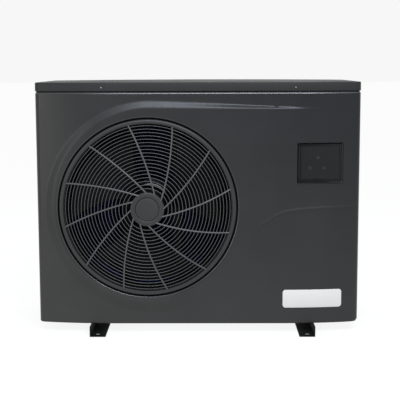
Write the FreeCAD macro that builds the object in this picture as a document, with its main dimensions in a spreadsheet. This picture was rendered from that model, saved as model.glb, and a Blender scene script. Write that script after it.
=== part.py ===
import FreeCAD, Part
import math
import os
import Sketcher

# Pool heat pump, plastic-cased, side-discharge, one axial fan.
# Row frame: origin on the floor at the centre of the four foot slots,
# +X to the right seen from the front, front faces -Y, +Z up. Millimetres.

V = FreeCAD.Vector
doc = FreeCAD.newDocument("heat_pump")
sheet = doc.addObject("Spreadsheet::Sheet", "Params")

SIZES = {
    # casing
    "case_w": 860, "case_x": -11, "front_y": -170, "back_y": 170, "foot_rise": 27, "panel_rise": 619,
    "relief": 6, "sweep": 19, "flat_half": 230, "corner": 14, "wall": 3, "return_len": 70,
    "lid_gap": 2, "lid_skirt": 21, "lid_shoulder": 6, "lid_crown": 4, "lid_over": 1,
    "sheet_thick": 2, "slack": 0.4,
    # feet
    "rail_len": 400, "rail_mid": 280, "rail_wide": 42, "rail_thick": 2.5, "slot_end": 23.4,
    "slot_rad": 5.5, "slot_len": 16, "slot_in": 19.5,
    # fan, grille and orifice
    "fan_x": -143.5, "fan_z": 341.3, "open_rad": 222, "recess_rad": 238.5, "recess_deep": 8,
    "ring_wall": 3, "rim_rad": 234, "dome": 26, "rib_wide": 3, "rib_deep": 5, "hub_rad": 44.7,
    "cap_rad": 30.5, "throat_rad": 212, "orifice_len": 62, "blade_rad": 205, "fan_hub_rad": 52,
    "fan_front": -146, "fan_hub_len": 62, "shaft_rad": 6, "motor_rad": 55, "motor_front": -44,
    "motor_len": 92,
    # swept relief on the front panel
    "comet_rad": 268, "tail_top": 604, "tail_end_top": 602, "tail_low": 341, "tail_end_x": 389,
    # controller pocket
    "ctrl_x": 311.5, "ctrl_z": 458.5, "ctrl_w": 123, "ctrl_rise": 109, "ctrl_bevel": 8.5,
    "ctrl_deep": 20, "ctrl_box_deep": 44, "cover_thick": 2.5, "pin_rad": 1.5, "button_rad": 4.5,
    # badge
    "badge_x0": 214.6, "badge_x1": 372.8, "badge_z0": 70.8, "badge_z1": 119.4, "badge_thick": 1.5,
    # inside
    "divider_x": 112, "coil_thick": 30, "coil_z0": 34, "coil_z1": 630, "tube_rad": 4.76,
    "hx_x": 345, "hx_y": -30, "hx_rad": 60, "hx_z0": 49, "hx_z1": 484, "pipe_in_z": 120, "pipe_out_z": 440,
    "pipe_rad": 25, "pipe_bore": 21, "union_bore": 25.1, "union_deep": 31,
    "comp_x": 200, "comp_y": 66, "comp_rad": 62, "comp_z0": 45, "comp_z1": 335,
    "box_drop": 6, "box_rise": 84,
}


class Dim:
    """A length that carries its value and the spreadsheet expression behind it."""

    def __init__(self, text, value):
        self.text = text
        self.value = value

    def __add__(self, other):
        other = dim(other)
        return Dim("(%s + %s)" % (self.text, other.text), self.value + other.value)

    def __sub__(self, other):
        other = dim(other)
        return Dim("(%s - %s)" % (self.text, other.text), self.value - other.value)

    def __mul__(self, other):
        other = dim(other)
        return Dim("(%s * %s)" % (self.text, other.text), self.value * other.value)

    def __truediv__(self, other):
        other = dim(other)
        return Dim("(%s / %s)" % (self.text, other.text), self.value / other.value)

    def __neg__(self):
        return Dim("(0 - %s)" % self.text, -self.value)

    def __radd__(self, other):
        return dim(other) + self

    def __rsub__(self, other):
        return dim(other) - self

    def __rmul__(self, other):
        return dim(other) * self


def dim(x):
    return x if isinstance(x, Dim) else Dim("%.6g" % x, float(x))


class Sizes:
    pass


d = Sizes()
for row, (name, number) in enumerate(SIZES.items(), 1):
    sheet.set("A%d" % row, name)
    sheet.set("B%d" % row, str(number))
    sheet.setAlias("B%d" % row, name)
    setattr(d, name, Dim("Params.%s" % name, float(number)))
doc.recompute()

nodes = {}


def keep(name, obj):
    obj.Label = name
    nodes[name] = obj
    return obj


def bind(obj, path, value):
    obj.setExpression(path, dim(value).text)


# ---------------------------------------------------------------- sketches
def plane_of(body, plane):
    return [o for o in body.Origin.OriginFeatures if o.Role == plane + "_Plane"][0]


def fix_point(sk, geo, pos, x, y):
    for kind, value in (("DistanceX", x), ("DistanceY", y)):
        value = dim(value)
        n = sk.addConstraint(Sketcher.Constraint(kind, -1, 1, geo, pos, value.value))
        sk.setExpression("Constraints[%d]" % n, value.text)


def fix_radius(sk, geo, r):
    n = sk.addConstraint(Sketcher.Constraint("Radius", geo, dim(r).value))
    sk.setExpression("Constraints[%d]" % n, dim(r).text)


def draw_polygon(sk, points):
    values = [V(dim(x).value, dim(y).value, 0) for x, y in points]
    count = len(values)
    first = sk.GeometryCount
    for i in range(count):
        sk.addGeometry(Part.LineSegment(values[i], values[(i + 1) % count]), False)
    for i in range(count):
        after = first + (i + 1) % count
        sk.addConstraint(Sketcher.Constraint("Coincident", first + i, 2, after, 1))
    for i, (x, y) in enumerate(points):
        fix_point(sk, first + i, 1, x, y)


def draw_circle(sk, x, y, r):
    x, y, r = dim(x), dim(y), dim(r)
    g = sk.addGeometry(Part.Circle(V(x.value, y.value, 0), V(0, 0, 1), r.value), False)
    fix_point(sk, g, 3, x, y)
    fix_radius(sk, g, r)


def draw_slot(sk, x, y, r, length):
    """A round-ended slot running along the sketch's first axis."""
    x, y, r, half = dim(x), dim(y), dim(r), (dim(length) - dim(r) * 2) / 2
    mid_l = V(x.value - half.value, y.value, 0)
    mid_r = V(x.value + half.value, y.value, 0)
    up = V(0, r.value, 0)
    left = Part.ArcOfCircle(Part.Circle(mid_l, V(0, 0, 1), r.value), math.pi / 2, 3 * math.pi / 2)
    right = Part.ArcOfCircle(Part.Circle(mid_r, V(0, 0, 1), r.value), -math.pi / 2, math.pi / 2)
    a = sk.addGeometry(left, False)
    low = sk.addGeometry(Part.LineSegment(mid_l - up, mid_r - up), False)
    b = sk.addGeometry(right, False)
    top = sk.addGeometry(Part.LineSegment(mid_r + up, mid_l + up), False)
    for one, p1, two, p2 in ((a, 2, low, 1), (low, 2, b, 1), (b, 2, top, 1), (top, 2, a, 1)):
        sk.addConstraint(Sketcher.Constraint("Tangent", one, p1, two, p2))
    fix_point(sk, a, 3, x - half, y)
    fix_point(sk, b, 3, x + half, y)
    fix_radius(sk, a, r)


def sketch_on(body, plane, level, loops, shift=(0, 0)):
    """Loops: a list of (x, y) points, ("circle", x, y, r) or ("slot", x, y, r, length)."""
    sk = body.newObject("Sketcher::SketchObject", body.Name + "_sketch")
    sk.AttachmentSupport = [(plane_of(body, plane), "")]
    sk.MapMode = "FlatFace"
    sign = -1 if plane == "XZ" else 1
    bind(sk, "AttachmentOffset.Base.x", shift[0])
    bind(sk, "AttachmentOffset.Base.y", shift[1])
    bind(sk, "AttachmentOffset.Base.z", dim(level) * sign)
    for loop in loops:
        if loop[0] == "circle":
            draw_circle(sk, *loop[1:])
        elif loop[0] == "slot":
            draw_slot(sk, *loop[1:])
        else:
            draw_polygon(sk, loop)
    return sk


def rect(x0, x1, y0, y1):
    return [(x0, y0), (x1, y0), (x1, y1), (x0, y1)]


def new_body(name):
    return keep(name, doc.addObject("PartDesign::Body", name))


def pad(body, plane, start, length, loops):
    """Adds material from start to start + length along the plane's world axis."""
    level = dim(start) + length if plane == "XZ" else start
    sk = sketch_on(body, plane, level, loops)
    feature = body.newObject("PartDesign::Pad", body.Name + "_pad")
    feature.Profile = sk
    bind(feature, "Length", length)
    return feature


def pocket(body, plane, start, length, loops):
    """Removes material from start to start + length along the plane's world axis."""
    level = start if plane == "XZ" else dim(start) + length
    sk = sketch_on(body, plane, level, loops)
    feature = body.newObject("PartDesign::Pocket", body.Name + "_pocket")
    feature.Profile = sk
    bind(feature, "Length", length)
    return feature


def turned(body, axis, centre, sections, kind="PartDesign::Revolution"):
    """Turns sections of (along, radius) points about an axis; centre holds the other two coordinates."""
    if axis == "Y":
        sk = sketch_on(body, "YZ", centre[0], sections, (0, centre[1]))
    elif axis == "X":
        sk = sketch_on(body, "XZ", centre[0], sections, (0, centre[1]))
    else:
        sections = [[(r, along) for along, r in s] for s in sections]
        sk = sketch_on(body, "XZ", centre[1], sections, (centre[0], 0))
    feature = body.newObject(kind, body.Name + "_turn")
    feature.Profile = sk
    feature.ReferenceAxis = (sk, ["V_Axis" if axis == "Z" else "H_Axis"])
    feature.Angle = 360
    return feature


def lofted(body, plane, levels, outlines, kind="PartDesign::AdditiveLoft"):
    sketches = [sketch_on(body, plane, z, [o]) for z, o in zip(levels, outlines)]
    feature = body.newObject(kind, body.Name + "_loft")
    feature.Profile = sketches[0]
    feature.Sections = sketches[1:]
    feature.Ruled = True
    return feature


def repeat(body, feature, axis, length, count):
    """A row of copies of one feature along a world axis."""
    feature.Visibility = False
    pattern = body.newObject("PartDesign::LinearPattern", body.Name + "_row")
    pattern.Originals = [feature]
    line = [o for o in body.Origin.OriginFeatures if o.Role == axis + "_Axis"][0]
    pattern.Direction = (line, [""])
    bind(pattern, "Length", length)
    pattern.Occurrences = count
    body.Tip = pattern
    return pattern


# ---------------------------------------------------------------- solids
def block(name, x0, x1, y0, y1, z0, z1):
    obj = doc.addObject("Part::Box", name)
    for axis, low, high, size in (("x", x0, x1, "Length"), ("y", y0, y1, "Width"), ("z", z0, z1, "Height")):
        bind(obj, "Placement.Base." + axis, low)
        bind(obj, size, dim(high) - low)
    return obj


TURN = {"X": V(0, 1, 0), "Y": V(-1, 0, 0)}


def rod(name, axis, base, length, r):
    """A cylinder from base, running length along +axis."""
    obj = doc.addObject("Part::Cylinder", name)
    if axis in TURN:
        obj.Placement = FreeCAD.Placement(V(0, 0, 0), FreeCAD.Rotation(TURN[axis], 90))
    for part, value in zip("xyz", base):
        bind(obj, "Placement.Base." + part, value)
    bind(obj, "Height", length)
    bind(obj, "Radius", r)
    return obj


def joined(name, *shapes):
    obj = doc.addObject("Part::MultiFuse", name)
    obj.Shapes = list(shapes)
    return obj


def less(name, base, *tools):
    for tool in tools:
        obj = doc.addObject("Part::Cut", name)
        obj.Base = base
        obj.Tool = tool
        base = obj
    return base


def group(name, shapes):
    obj = doc.addObject("Part::Compound", name)
    obj.Links = list(shapes)
    return keep(name, obj)


def tube(points, r, bend):
    """A bent tube through 3-D points: it leaves any one plane, so it is swept by code."""
    pts = [V(*[dim(c).value for c in p]) for p in points]
    edges = []
    last = pts[0]
    for i in range(1, len(pts) - 1):
        a = (pts[i - 1] - pts[i]).normalize()
        b = (pts[i + 1] - pts[i]).normalize()
        half = a.getAngle(b) / 2
        back = bend / math.tan(half)
        start, end = pts[i] + a * back, pts[i] + b * back
        bis = (a + b).normalize()
        mid = pts[i] + bis * (bend / math.sin(half) - bend)
        edges.append(Part.LineSegment(last, start).toShape())
        edges.append(Part.Arc(start, mid, end).toShape())
        last = end
    edges.append(Part.LineSegment(last, pts[-1]).toShape())
    direction = (pts[1] - pts[0]).normalize()
    ring = Part.Wire(Part.Circle(pts[0], direction, r).toShape())
    return Part.Wire(edges).makePipeShell([ring], True, False)


def tubes(name, runs):
    obj = doc.addObject("Part::Feature", name)
    obj.Shape = Part.makeCompound(runs) if len(runs) > 1 else runs[0]
    return keep(name, obj)


def screw(axis, at, head_r, head, shank_r, shank, sign):
    """A headed screw: head outward of the seat at `at`, shank the other way. sign gives the head's side."""
    i = "XYZ".index(axis)
    base_head, base_shank = list(at), list(at)
    if sign < 0:
        base_head[i] = at[i] - head
    else:
        base_shank[i] = at[i] - shank
    return joined("screw", rod("head", axis, base_head, head, head_r),
                  rod("shank", axis, base_shank, shank, shank_r))


# ---------------------------------------------------------------- casing levels
x_left = d.case_x - d.case_w / 2
x_right = d.case_x + d.case_w / 2
base_y = d.front_y + d.relief
z_pan = d.foot_rise
z_seam = d.foot_rise + d.panel_rise
z_lid = z_seam + d.lid_gap
z_skirt = z_lid + d.lid_skirt
z_under = z_skirt - d.wall
z_crown = z_skirt + d.lid_shoulder + d.lid_crown
inner_front = base_y + d.wall
box_z1 = z_seam - d.box_drop
box_z0 = box_z1 - d.box_rise
SWEEP_STEPS = (0.35, 0.6, 0.77, 0.9)


def half_front(side, o):
    """Front outline of one half, centre to side, offset inward by o: straight, swept back, rounded."""
    half = d.case_w / 2
    span = half - d.corner - d.flat_half
    pts = [(d.case_x + d.flat_half * side, base_y + o)]
    for t in SWEEP_STEPS:
        pts.append((d.case_x + (d.flat_half + span * t) * side, base_y + o + d.sweep * (t * t)))
    end_y = base_y + d.sweep
    small = d.corner - o
    pts.append((d.case_x + (half - d.corner) * side, end_y + o))
    pts.append((d.case_x + (half - o - small * 0.3) * side, end_y + o + small * 0.3))
    pts.append((d.case_x + (half - o) * side, end_y + d.corner))
    return pts


def front_line(o):
    """The whole front outline from the left return to the right return."""
    return list(reversed(half_front(-1, dim(o)))) + half_front(1, dim(o))


def footprint(o, rear):
    """The closed casing outline offset inward by o, ending at the given rear line."""
    line = front_line(o)
    return [(line[0][0], rear)] + line + [(line[-1][0], rear)]


# ---------------------------------------------------------------- front panel
panel = new_body("front_panel")
return_y = base_y + d.sweep + d.return_len
skin = footprint(0, return_y) + list(reversed(footprint(d.wall, return_y)))
pad(panel, "XY", z_pan, d.panel_rise, [skin])
lip = footprint(d.wall, return_y) + list(reversed(footprint(d.wall + 2.5, return_y)))
pad(panel, "XY", z_seam - 16, z_under - z_seam + 16, [lip])
drum_deep = d.relief + d.sweep + 1
pad(panel, "XZ", d.front_y, drum_deep, [("circle", d.fan_x, d.fan_z, d.comet_rad)])
tail = [
    (d.fan_x + 20, d.tail_top), (d.tail_end_x - 25, d.tail_end_top - 2), (d.tail_end_x, d.tail_end_top - 30),
    (d.tail_end_x, d.tail_low + 4), (d.tail_end_x - 110, d.tail_low), (d.tail_end_x - 180, d.tail_low - 12),
    (d.fan_x + 250, d.tail_low - 60), (d.fan_x + 20, d.tail_low - 60),
]
pad(panel, "XZ", d.front_y, d.relief + d.wall, [tail])
hollow = [(d.fan_x + 20, d.tail_top - d.wall), (d.tail_end_x - 30, d.tail_end_top - 5),
          (d.tail_end_x - 16, d.tail_end_top - 34), (d.tail_end_x - 16, d.tail_low + 7),
          (d.tail_end_x - 112, d.tail_low + 3), (d.tail_end_x - 182, d.tail_low - 8),
          (d.fan_x + 250, d.tail_low - 56), (d.fan_x + 20, d.tail_low - 56)]
pocket(panel, "XZ", d.front_y + d.wall, drum_deep + 30, [("circle", d.fan_x, d.fan_z, d.comet_rad - d.wall)])
pocket(panel, "XZ", d.front_y + d.wall + d.relief * 0.7, d.relief + 8, [hollow])
slope = [(d.fan_x + 200, d.front_y - 5), (d.fan_x + 200, d.front_y),
         (d.tail_end_x + 11, base_y), (d.tail_end_x + 11, d.front_y - 5)]
pocket(panel, "XY", z_pan, d.panel_rise, [slope])
ring = [("circle", d.fan_x, d.fan_z, d.recess_rad + d.ring_wall), ("circle", d.fan_x, d.fan_z, d.open_rad)]
pad(panel, "XZ", d.front_y, d.recess_deep + d.wall, ring)
pocket(panel, "XZ", d.front_y - 1, d.recess_deep + 1, [("circle", d.fan_x, d.fan_z, d.recess_rad)])
pocket(panel, "XZ", d.front_y - 1, 90, [("circle", d.fan_x, d.fan_z, d.open_rad)])
cx0, cx1 = d.ctrl_x - d.ctrl_w / 2, d.ctrl_x + d.ctrl_w / 2
cz0, cz1 = d.ctrl_z - d.ctrl_rise / 2, d.ctrl_z + d.ctrl_rise / 2
pocket(panel, "XZ", d.front_y - 1, 30, [rect(cx0, cx1, cz0, cz1)])

# ---------------------------------------------------------------- lid
lid = new_body("lid")
rear_lid = d.back_y + d.lid_over
pad(lid, "XY", z_lid, d.lid_skirt, [footprint(-d.lid_over, rear_lid)])
levels = [z_skirt, z_skirt + d.lid_shoulder, z_crown]
lofted(lid, "XY", levels, [footprint(-d.lid_over, rear_lid), footprint(10, d.back_y - 10),
                           footprint(13, d.back_y - 60)])
pocket(lid, "XY", z_lid, z_under - z_lid, [footprint(d.wall - d.slack, d.back_y - d.wall + d.slack)])
inner_levels = [z_under, z_under + d.lid_shoulder, z_crown - d.wall]
lofted(lid, "XY", inner_levels, [footprint(8, d.back_y - 10), footprint(11.5, d.back_y - 16),
                                 footprint(13.9, d.back_y - 62)], "PartDesign::SubtractiveLoft")
LID_SCREWS = (-252, 256)
lid_screw_z = z_lid + 8
lid_holes = [("circle", d.case_x + x, lid_screw_z, 2.2) for x in LID_SCREWS]
pocket(lid, "XZ", base_y - 8, 30, lid_holes)
pocket(lid, "XZ", d.back_y - 12, 20, lid_holes)
pocket(panel, "XZ", base_y - 8, 30, lid_holes)

# ---------------------------------------------------------------- base pan, panels and post
pan_off = d.wall + d.slack
pan_rear = d.back_y - d.wall - 3 - d.slack
pan = new_body("base_pan")
pad(pan, "XY", z_pan, 26, [footprint(pan_off, pan_rear)])
pocket(pan, "XY", z_pan + d.sheet_thick, 30,
       [footprint(pan_off + d.sheet_thick, pan_rear - d.sheet_thick)])
drain_x, drain_y = d.fan_x, dim(70)
pocket(pan, "XY", z_pan - 1, 10, [("circle", drain_x, drain_y, 10.3)])
rail_bolts = [(side, y) for side in (-1, 1) for y in (-110, 110)]
bolt_x = d.rail_mid + d.slot_in + 9
for side, y in rail_bolts:
    pocket(pan, "XY", z_pan - 1, 10, [("circle", bolt_x * side, y, 4.2)])
comp_bolts = [(math.cos(math.radians(a)) * 66, math.sin(math.radians(a)) * 66) for a in (-30, 90, 210)]
for ox, oy in comp_bolts:
    pocket(pan, "XY", z_pan - 1, 10, [("circle", d.comp_x + ox, d.comp_y + oy, 4.2)])

left = new_body("side_panel_left")
side_y0 = return_y + d.slack
louvre_wide = d.back_y - 16 - 14 - side_y0
pad(left, "YZ", x_left, d.wall, [rect(side_y0, d.back_y - 15.6, z_pan, z_seam)])
pad(left, "XY", z_seam - 16, z_under - z_seam + 16, [rect(x_left + d.wall, x_left + d.wall + 2.5, side_y0,
                                                          d.back_y - 15.6)])
slot_cut = pocket(left, "YZ", x_left - 1, 20, [rect(side_y0 + 12, side_y0 + 12 + louvre_wide, z_pan + 40,
                                                    z_pan + 52)])
doc.recompute()
repeat(left, slot_cut, "Z", d.panel_rise - 100, 25)

post = new_body("corner_post")
post_pts = [(x_left, d.back_y - 15.2), (x_left, d.back_y), (x_left + 26, d.back_y), (x_left + 26, d.back_y - d.wall),
            (x_left + d.wall, d.back_y - d.wall), (x_left + d.wall, d.back_y - 15.2)]
pad(post, "XY", z_pan, z_seam - z_pan, [post_pts])
tongue = [(x_left + d.wall, d.back_y - 15.2), (x_left + d.wall, d.back_y - d.wall),
          (x_left + 26, d.back_y - d.wall), (x_left + 26, d.back_y - d.wall - 2.5),
          (x_left + d.wall + 2.5, d.back_y - d.wall - 2.5), (x_left + d.wall + 2.5, d.back_y - 15.2)]
pad(post, "XY", z_seam - 16, z_under - z_seam + 16, [tongue])

rear = new_body("rear_panel")
rear_x0 = d.divider_x - 12
pad(rear, "XZ", d.back_y - d.wall, d.wall, [rect(rear_x0, x_right, z_pan, z_seam)])
pad(rear, "XZ", d.back_y - d.wall - 2.5, 2.5, [rect(rear_x0, x_right - d.wall, z_seam - 16, z_under)])
pad(rear, "XZ", d.back_y - d.wall - 3, 3, [rect(rear_x0, x_right - d.wall, z_pan, z_pan + 22)])
pocket(rear, "XZ", d.back_y - 12, 20, lid_holes[1:])
for z in (d.pipe_in_z, d.pipe_out_z):
    pocket(rear, "XZ", d.back_y - 10, 20, [("circle", d.hx_x, z, 33)])
GLAND_X = (240, 275)
gland_z = box_z0 - 30
for x in GLAND_X:
    pocket(rear, "XZ", d.back_y - 10, 20, [("circle", x, gland_z, 8.3)])

right = new_body("side_panel_right")
right_y1 = d.back_y - d.wall - d.slack
pad(right, "YZ", x_right - d.wall, d.wall, [rect(side_y0, right_y1, z_pan, z_seam)])
pad(right, "XY", z_seam - 16, z_under - z_seam + 16,
    [rect(x_right - d.wall - 2.5, x_right - d.wall, side_y0, right_y1 - 2.5)])
grip = rect(side_y0 + 60, side_y0 + 180, z_seam - 150, z_seam - 100)
pad(right, "YZ", x_right - 22, 22, [rect(side_y0 + 57, side_y0 + 183, z_seam - 153, z_seam - 97)])
pocket(right, "YZ", x_right - 20, 30, [grip])
service = rect(side_y0 + 50, side_y0 + 190, z_pan + 300, z_pan + 420)
pocket(right, "YZ", x_right - 10, 20, [service])
door = new_body("service_cover")
pad(door, "YZ", x_right - d.wall, d.wall, [rect(side_y0 + 50.3, side_y0 + 189.7, z_pan + 300.3, z_pan + 419.7)])
pad(door, "YZ", x_right, 2.5, [rect(side_y0 + 42, side_y0 + 198, z_pan + 292, z_pan + 428)])
pocket(door, "YZ", x_right - d.wall - 1, d.wall, [rect(side_y0 + 53, side_y0 + 187, z_pan + 303, z_pan + 417)])

guard = new_body("rear_coil_guard")
guard_x0, guard_x1 = x_left + 26.4, rear_x0 - 0.4
guard_y = d.back_y - d.wall - 3
pad(guard, "XZ", guard_y, 5, [rect(guard_x0, guard_x1, z_pan, z_seam)])
pocket(guard, "XZ", guard_y - 5, 20, [rect(guard_x0 + 14, guard_x1 - 14, z_pan + 30, z_seam - 14)])
bar = pad(guard, "XZ", guard_y + 1, 2.6, [rect(guard_x0 + 30, guard_x0 + 32.6, z_pan + 29, z_seam - 13)])
doc.recompute()
repeat(guard, bar, "X", guard_x1 - guard_x0 - 62.6, 25)
hoop = pad(guard, "XZ", guard_y + 3, 2.6, [rect(guard_x0 + 13, guard_x1 - 13, z_pan + 90, z_pan + 92.6)])
doc.recompute()
repeat(guard, hoop, "Z", d.panel_rise - 160, 6)
pad(guard, "XZ", guard_y - 0.5, 3, [rect(guard_x0, guard_x1, z_seam - 12, z_under)])
pocket(guard, "XZ", guard_y - 6, 20, lid_holes[:1])

# ---------------------------------------------------------------- feet
for side, name in ((-1, "foot_rail_left"), (1, "foot_rail_right")):
    rail = new_body(name)
    outer = (d.rail_mid + d.slot_in) * side
    web = outer - d.rail_thick * side
    inner = outer - d.rail_wide * side
    y0 = -d.rail_len / 2
    pad(rail, "XZ", y0, d.rail_len, [rect(inner, outer, 0, d.rail_thick) if side > 0
                                     else rect(outer, inner, 0, d.rail_thick)])
    pad(rail, "XZ", y0, d.rail_len, [rect(web, outer, d.rail_thick - 0.5, z_pan) if side > 0
                                     else rect(outer, web, d.rail_thick - 0.5, z_pan)])
    far = outer + 20 * side
    top_y0, top_len = -d.rail_len / 2 + 65, d.rail_len - 110
    pad(rail, "XZ", top_y0, top_len, [rect(web, far, z_pan - d.rail_thick, z_pan) if side > 0
                                      else rect(far, web, z_pan - d.rail_thick, z_pan)])
    for end in (-1, 1):
        slot_y = (d.rail_len / 2 - d.slot_end) * end
        pocket(rail, "XY", -1, 10, [("slot", d.rail_mid * side, slot_y, d.slot_rad, d.slot_len)])
    for bolt_side, y in rail_bolts:
        if bolt_side == side:
            pocket(rail, "XY", z_pan - 8, 10, [("circle", bolt_x * side, y, 4.2)])
foot_bolts = [screw("Z", [bolt_x * side, y, z_pan - d.rail_thick], 7, 5, 4, d.rail_thick + 9, -1)
              for side, y in rail_bolts]
foot_nuts = [less("nut", rod("nut_out", "Z", [bolt_x * side, y, z_pan + d.sheet_thick], 6, 7),
                         rod("nut_in", "Z", [bolt_x * side, y, z_pan], 12, 4.05)) for side, y in rail_bolts]
group("foot_fasteners", foot_bolts + foot_nuts)

drain = new_body("drain_nozzle")
turned(drain, "Z", (drain_x, drain_y), [[
    (z_pan - 17, 6.5), (z_pan - 17, 8), (z_pan - 3, 8), (z_pan - 3, 16), (z_pan, 16), (z_pan, 10),
    (z_pan + 4, 10), (z_pan + 4, 6.5)]])

# ---------------------------------------------------------------- grille
RING_COUNT = 19
RING_REACH = 177.3      # hub edge to opening edge that the ring spacing below is written for
RING_FIRST = 4.5        # opening edge to the middle of the outer ring
RING_PITCH = 8.45
RING_GROWTH = 0.032     # the pitch widens a little towards the hub
SPOKE_ROOT = 0.19       # shares of the opening radius
DOME_STEPS = (0.18, 0.315, 0.45, 0.585, 0.72, 0.833, 0.923, 1.0)


def proud(r):
    """How far the grille dome stands in front of the panel face at a radius."""
    ratio = r / SIZES["open_rad"]
    return d.dome * (1 - ratio ** 3)


def ring_radius(i):
    """Radius of one ring, counted from the outside, in step with the opening and the hub."""
    share = 1 - (RING_FIRST + RING_PITCH * i + RING_GROWTH * i * i) / RING_REACH
    return d.hub_rad + (d.open_rad - d.hub_rad) * share


rim_seat = d.front_y + d.recess_deep
rings = doc.addObject("PartDesign::Body", "grille_rings")
sections = [[(rim_seat, d.open_rad), (rim_seat, d.rim_rad), (d.front_y - 1, d.rim_rad), (d.front_y - 2.5,
            d.rim_rad - 3), (d.front_y - 2.5, d.open_rad + 2), (d.front_y, d.open_rad)]]
for i in range(RING_COUNT):
    r = ring_radius(i)
    face = d.front_y - proud(r.value)
    sections.append([(face, r - d.rib_wide / 2), (face, r + d.rib_wide / 2),
                     (face + d.rib_deep, r + d.rib_wide / 2), (face + d.rib_deep, r - d.rib_wide / 2)])
hub_face = d.front_y - proud(SIZES["hub_rad"])
sections.append([(hub_face - 1, 31), (hub_face - 1, d.hub_rad - 2), (hub_face, d.hub_rad),
                 (hub_face + 8, d.hub_rad), (hub_face + 8, 0), (hub_face + 5, 0), (hub_face + 5, 31)])
turned(rings, "Y", (d.fan_x, d.fan_z), sections)

spokes = doc.addObject("PartDesign::Body", "grille_spokes")
SPOKES = 12
OUT_ANGLE = 13
SWIRL = -41
BOW = 7.3


def polar(r, degrees):
    a = math.radians(degrees)
    return r * math.cos(a), r * math.sin(a)


def spoke_line(offset):
    """Points along one bowed spoke, shifted sideways by offset."""
    x1, z1 = polar(SIZES["open_rad"] * SPOKE_ROOT, OUT_ANGLE + SWIRL)
    x2, z2 = polar(SIZES["open_rad"] + 4, OUT_ANGLE)
    length = math.hypot(x2 - x1, z2 - z1)
    nx, nz = (z2 - z1) / length, -(x2 - x1) / length
    pts = []
    for i in range(9):
        u = i / 8
        bow = 4 * BOW * u * (1 - u) + offset
        pts.append((d.fan_x + (x1 + (x2 - x1) * u + nx * bow), d.fan_z + (z1 + (z2 - z1) * u + nz * bow)))
    return pts


strip = spoke_line(-1.8) + list(reversed(spoke_line(1.8)))
spoke_pad = pad(spokes, "XZ", d.front_y - d.dome - 8, d.dome + 20, [strip])
axis_sketch = sketch_on(spokes, "YZ", d.fan_x, [("circle", -400, 0, 1)], (0, d.fan_z))
doc.recompute()
circle = spokes.newObject("PartDesign::PolarPattern", "spoke_circle")
circle.Originals = [spoke_pad]
circle.Axis = (axis_sketch, ["H_Axis"])
circle.Angle = 360
circle.Occurrences = SPOKES
spokes.Tip = circle

shell = doc.addObject("PartDesign::Body", "grille_dome")
dome_radii = [SIZES["open_rad"] * share for share in DOME_STEPS]
front_line_pts = [(d.front_y - proud(r) - 1.2, dim(r)) for r in dome_radii]
front_line_pts.append((d.front_y - 1, d.open_rad + 3))
back_line_pts = [(d.front_y - proud(r) + 3.2, dim(r)) for r in dome_radii]
back_line_pts.append((d.front_y + 2, d.open_rad + 3))
back_line_pts.reverse()
turned(shell, "Y", (d.fan_x, d.fan_z), [front_line_pts + back_line_pts])
swirl = doc.addObject("Part::MultiCommon", "grille_swirl")
swirl.Shapes = [spokes, shell]
keep("fan_grille", joined("fan_grille", rings, swirl))

cap = new_body("grille_cap")
turned(cap, "Y", (d.fan_x, d.fan_z), [[
    (hub_face + 5, 0), (hub_face + 5, d.cap_rad), (hub_face - 1, d.cap_rad), (hub_face - 2.4, d.cap_rad - 3),
    (hub_face - 3, 0)]])

# ---------------------------------------------------------------- orifice and fan
duct = new_body("orifice_ring")
duct_y = d.front_y + d.recess_deep + d.wall
turned(duct, "Y", (d.fan_x, d.fan_z), [[
    (duct_y, d.throat_rad + 12), (duct_y, d.recess_rad), (duct_y + 3, d.recess_rad), (duct_y + 3, d.throat_rad + 9),
    (duct_y + 12, d.throat_rad + 3), (duct_y + d.orifice_len - 16, d.throat_rad + 3),
    (duct_y + d.orifice_len, d.throat_rad + 16), (duct_y + d.orifice_len, d.throat_rad + 12),
    (duct_y + d.orifice_len - 16, d.throat_rad), (duct_y + 10, d.throat_rad)]])

fan_back = d.fan_front + d.fan_hub_len
hub = doc.addObject("PartDesign::Body", "fan_hub")
turned(hub, "Y", (dim(0), dim(0)), [[
    (d.fan_front, d.shaft_rad + 0.1), (d.fan_front, d.fan_hub_rad - 10), (d.fan_front + 6, d.fan_hub_rad - 2),
    (d.fan_front + 14, d.fan_hub_rad), (fan_back, d.fan_hub_rad), (fan_back, d.fan_hub_rad - 5),
    (d.fan_front + 16, d.fan_hub_rad - 5), (d.fan_front + 7, d.fan_hub_rad - 12), (d.fan_front + 7, d.shaft_rad + 9),
    (fan_back, d.shaft_rad + 9), (fan_back, d.shaft_rad + 0.1)]])
mid_hub = d.fan_front + d.fan_hub_len / 2
BLADE_EDGE = ((-3, 22), (14, 32), (70, 68), (175, 104), (175, -122), (70, -90), (14, -42), (-3, -28))
blade_bodies = []
for k in range(3):
    blade = doc.addObject("PartDesign::Body", "blade_%d" % k)
    half_wide, half_rise, thick = dim(130), d.fan_hub_len * 0.7, 3
    slab = [(mid_hub - half_rise, half_wide), (mid_hub - half_rise + thick, half_wide),
            (mid_hub + half_rise + thick, -half_wide), (mid_hub + half_rise, -half_wide)]
    pad(blade, "YZ", d.fan_hub_rad - 3, d.blade_rad - d.fan_hub_rad + 20, [slab])
    planform = [(d.fan_hub_rad + x, dim(z)) for x, z in BLADE_EDGE]
    window = rect(d.fan_hub_rad - 20, d.blade_rad + 40, -180, 180)
    pocket(blade, "XZ", d.fan_front - 60, 200, [window, planform])
    pocket(blade, "XZ", d.fan_front - 60, 200, [("circle", 0, 0, d.blade_rad + 120),
                                                ("circle", 0, 0, d.blade_rad)])
    blade.Placement = FreeCAD.Placement(V(0, 0, 0), FreeCAD.Rotation(V(0, 1, 0), 120 * k - 20))
    blade_bodies.append(blade)
fan = keep("fan_blades", joined("fan_blades", hub, *blade_bodies))
bind(fan, "Placement.Base.x", d.fan_x)
bind(fan, "Placement.Base.z", d.fan_z)

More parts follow.
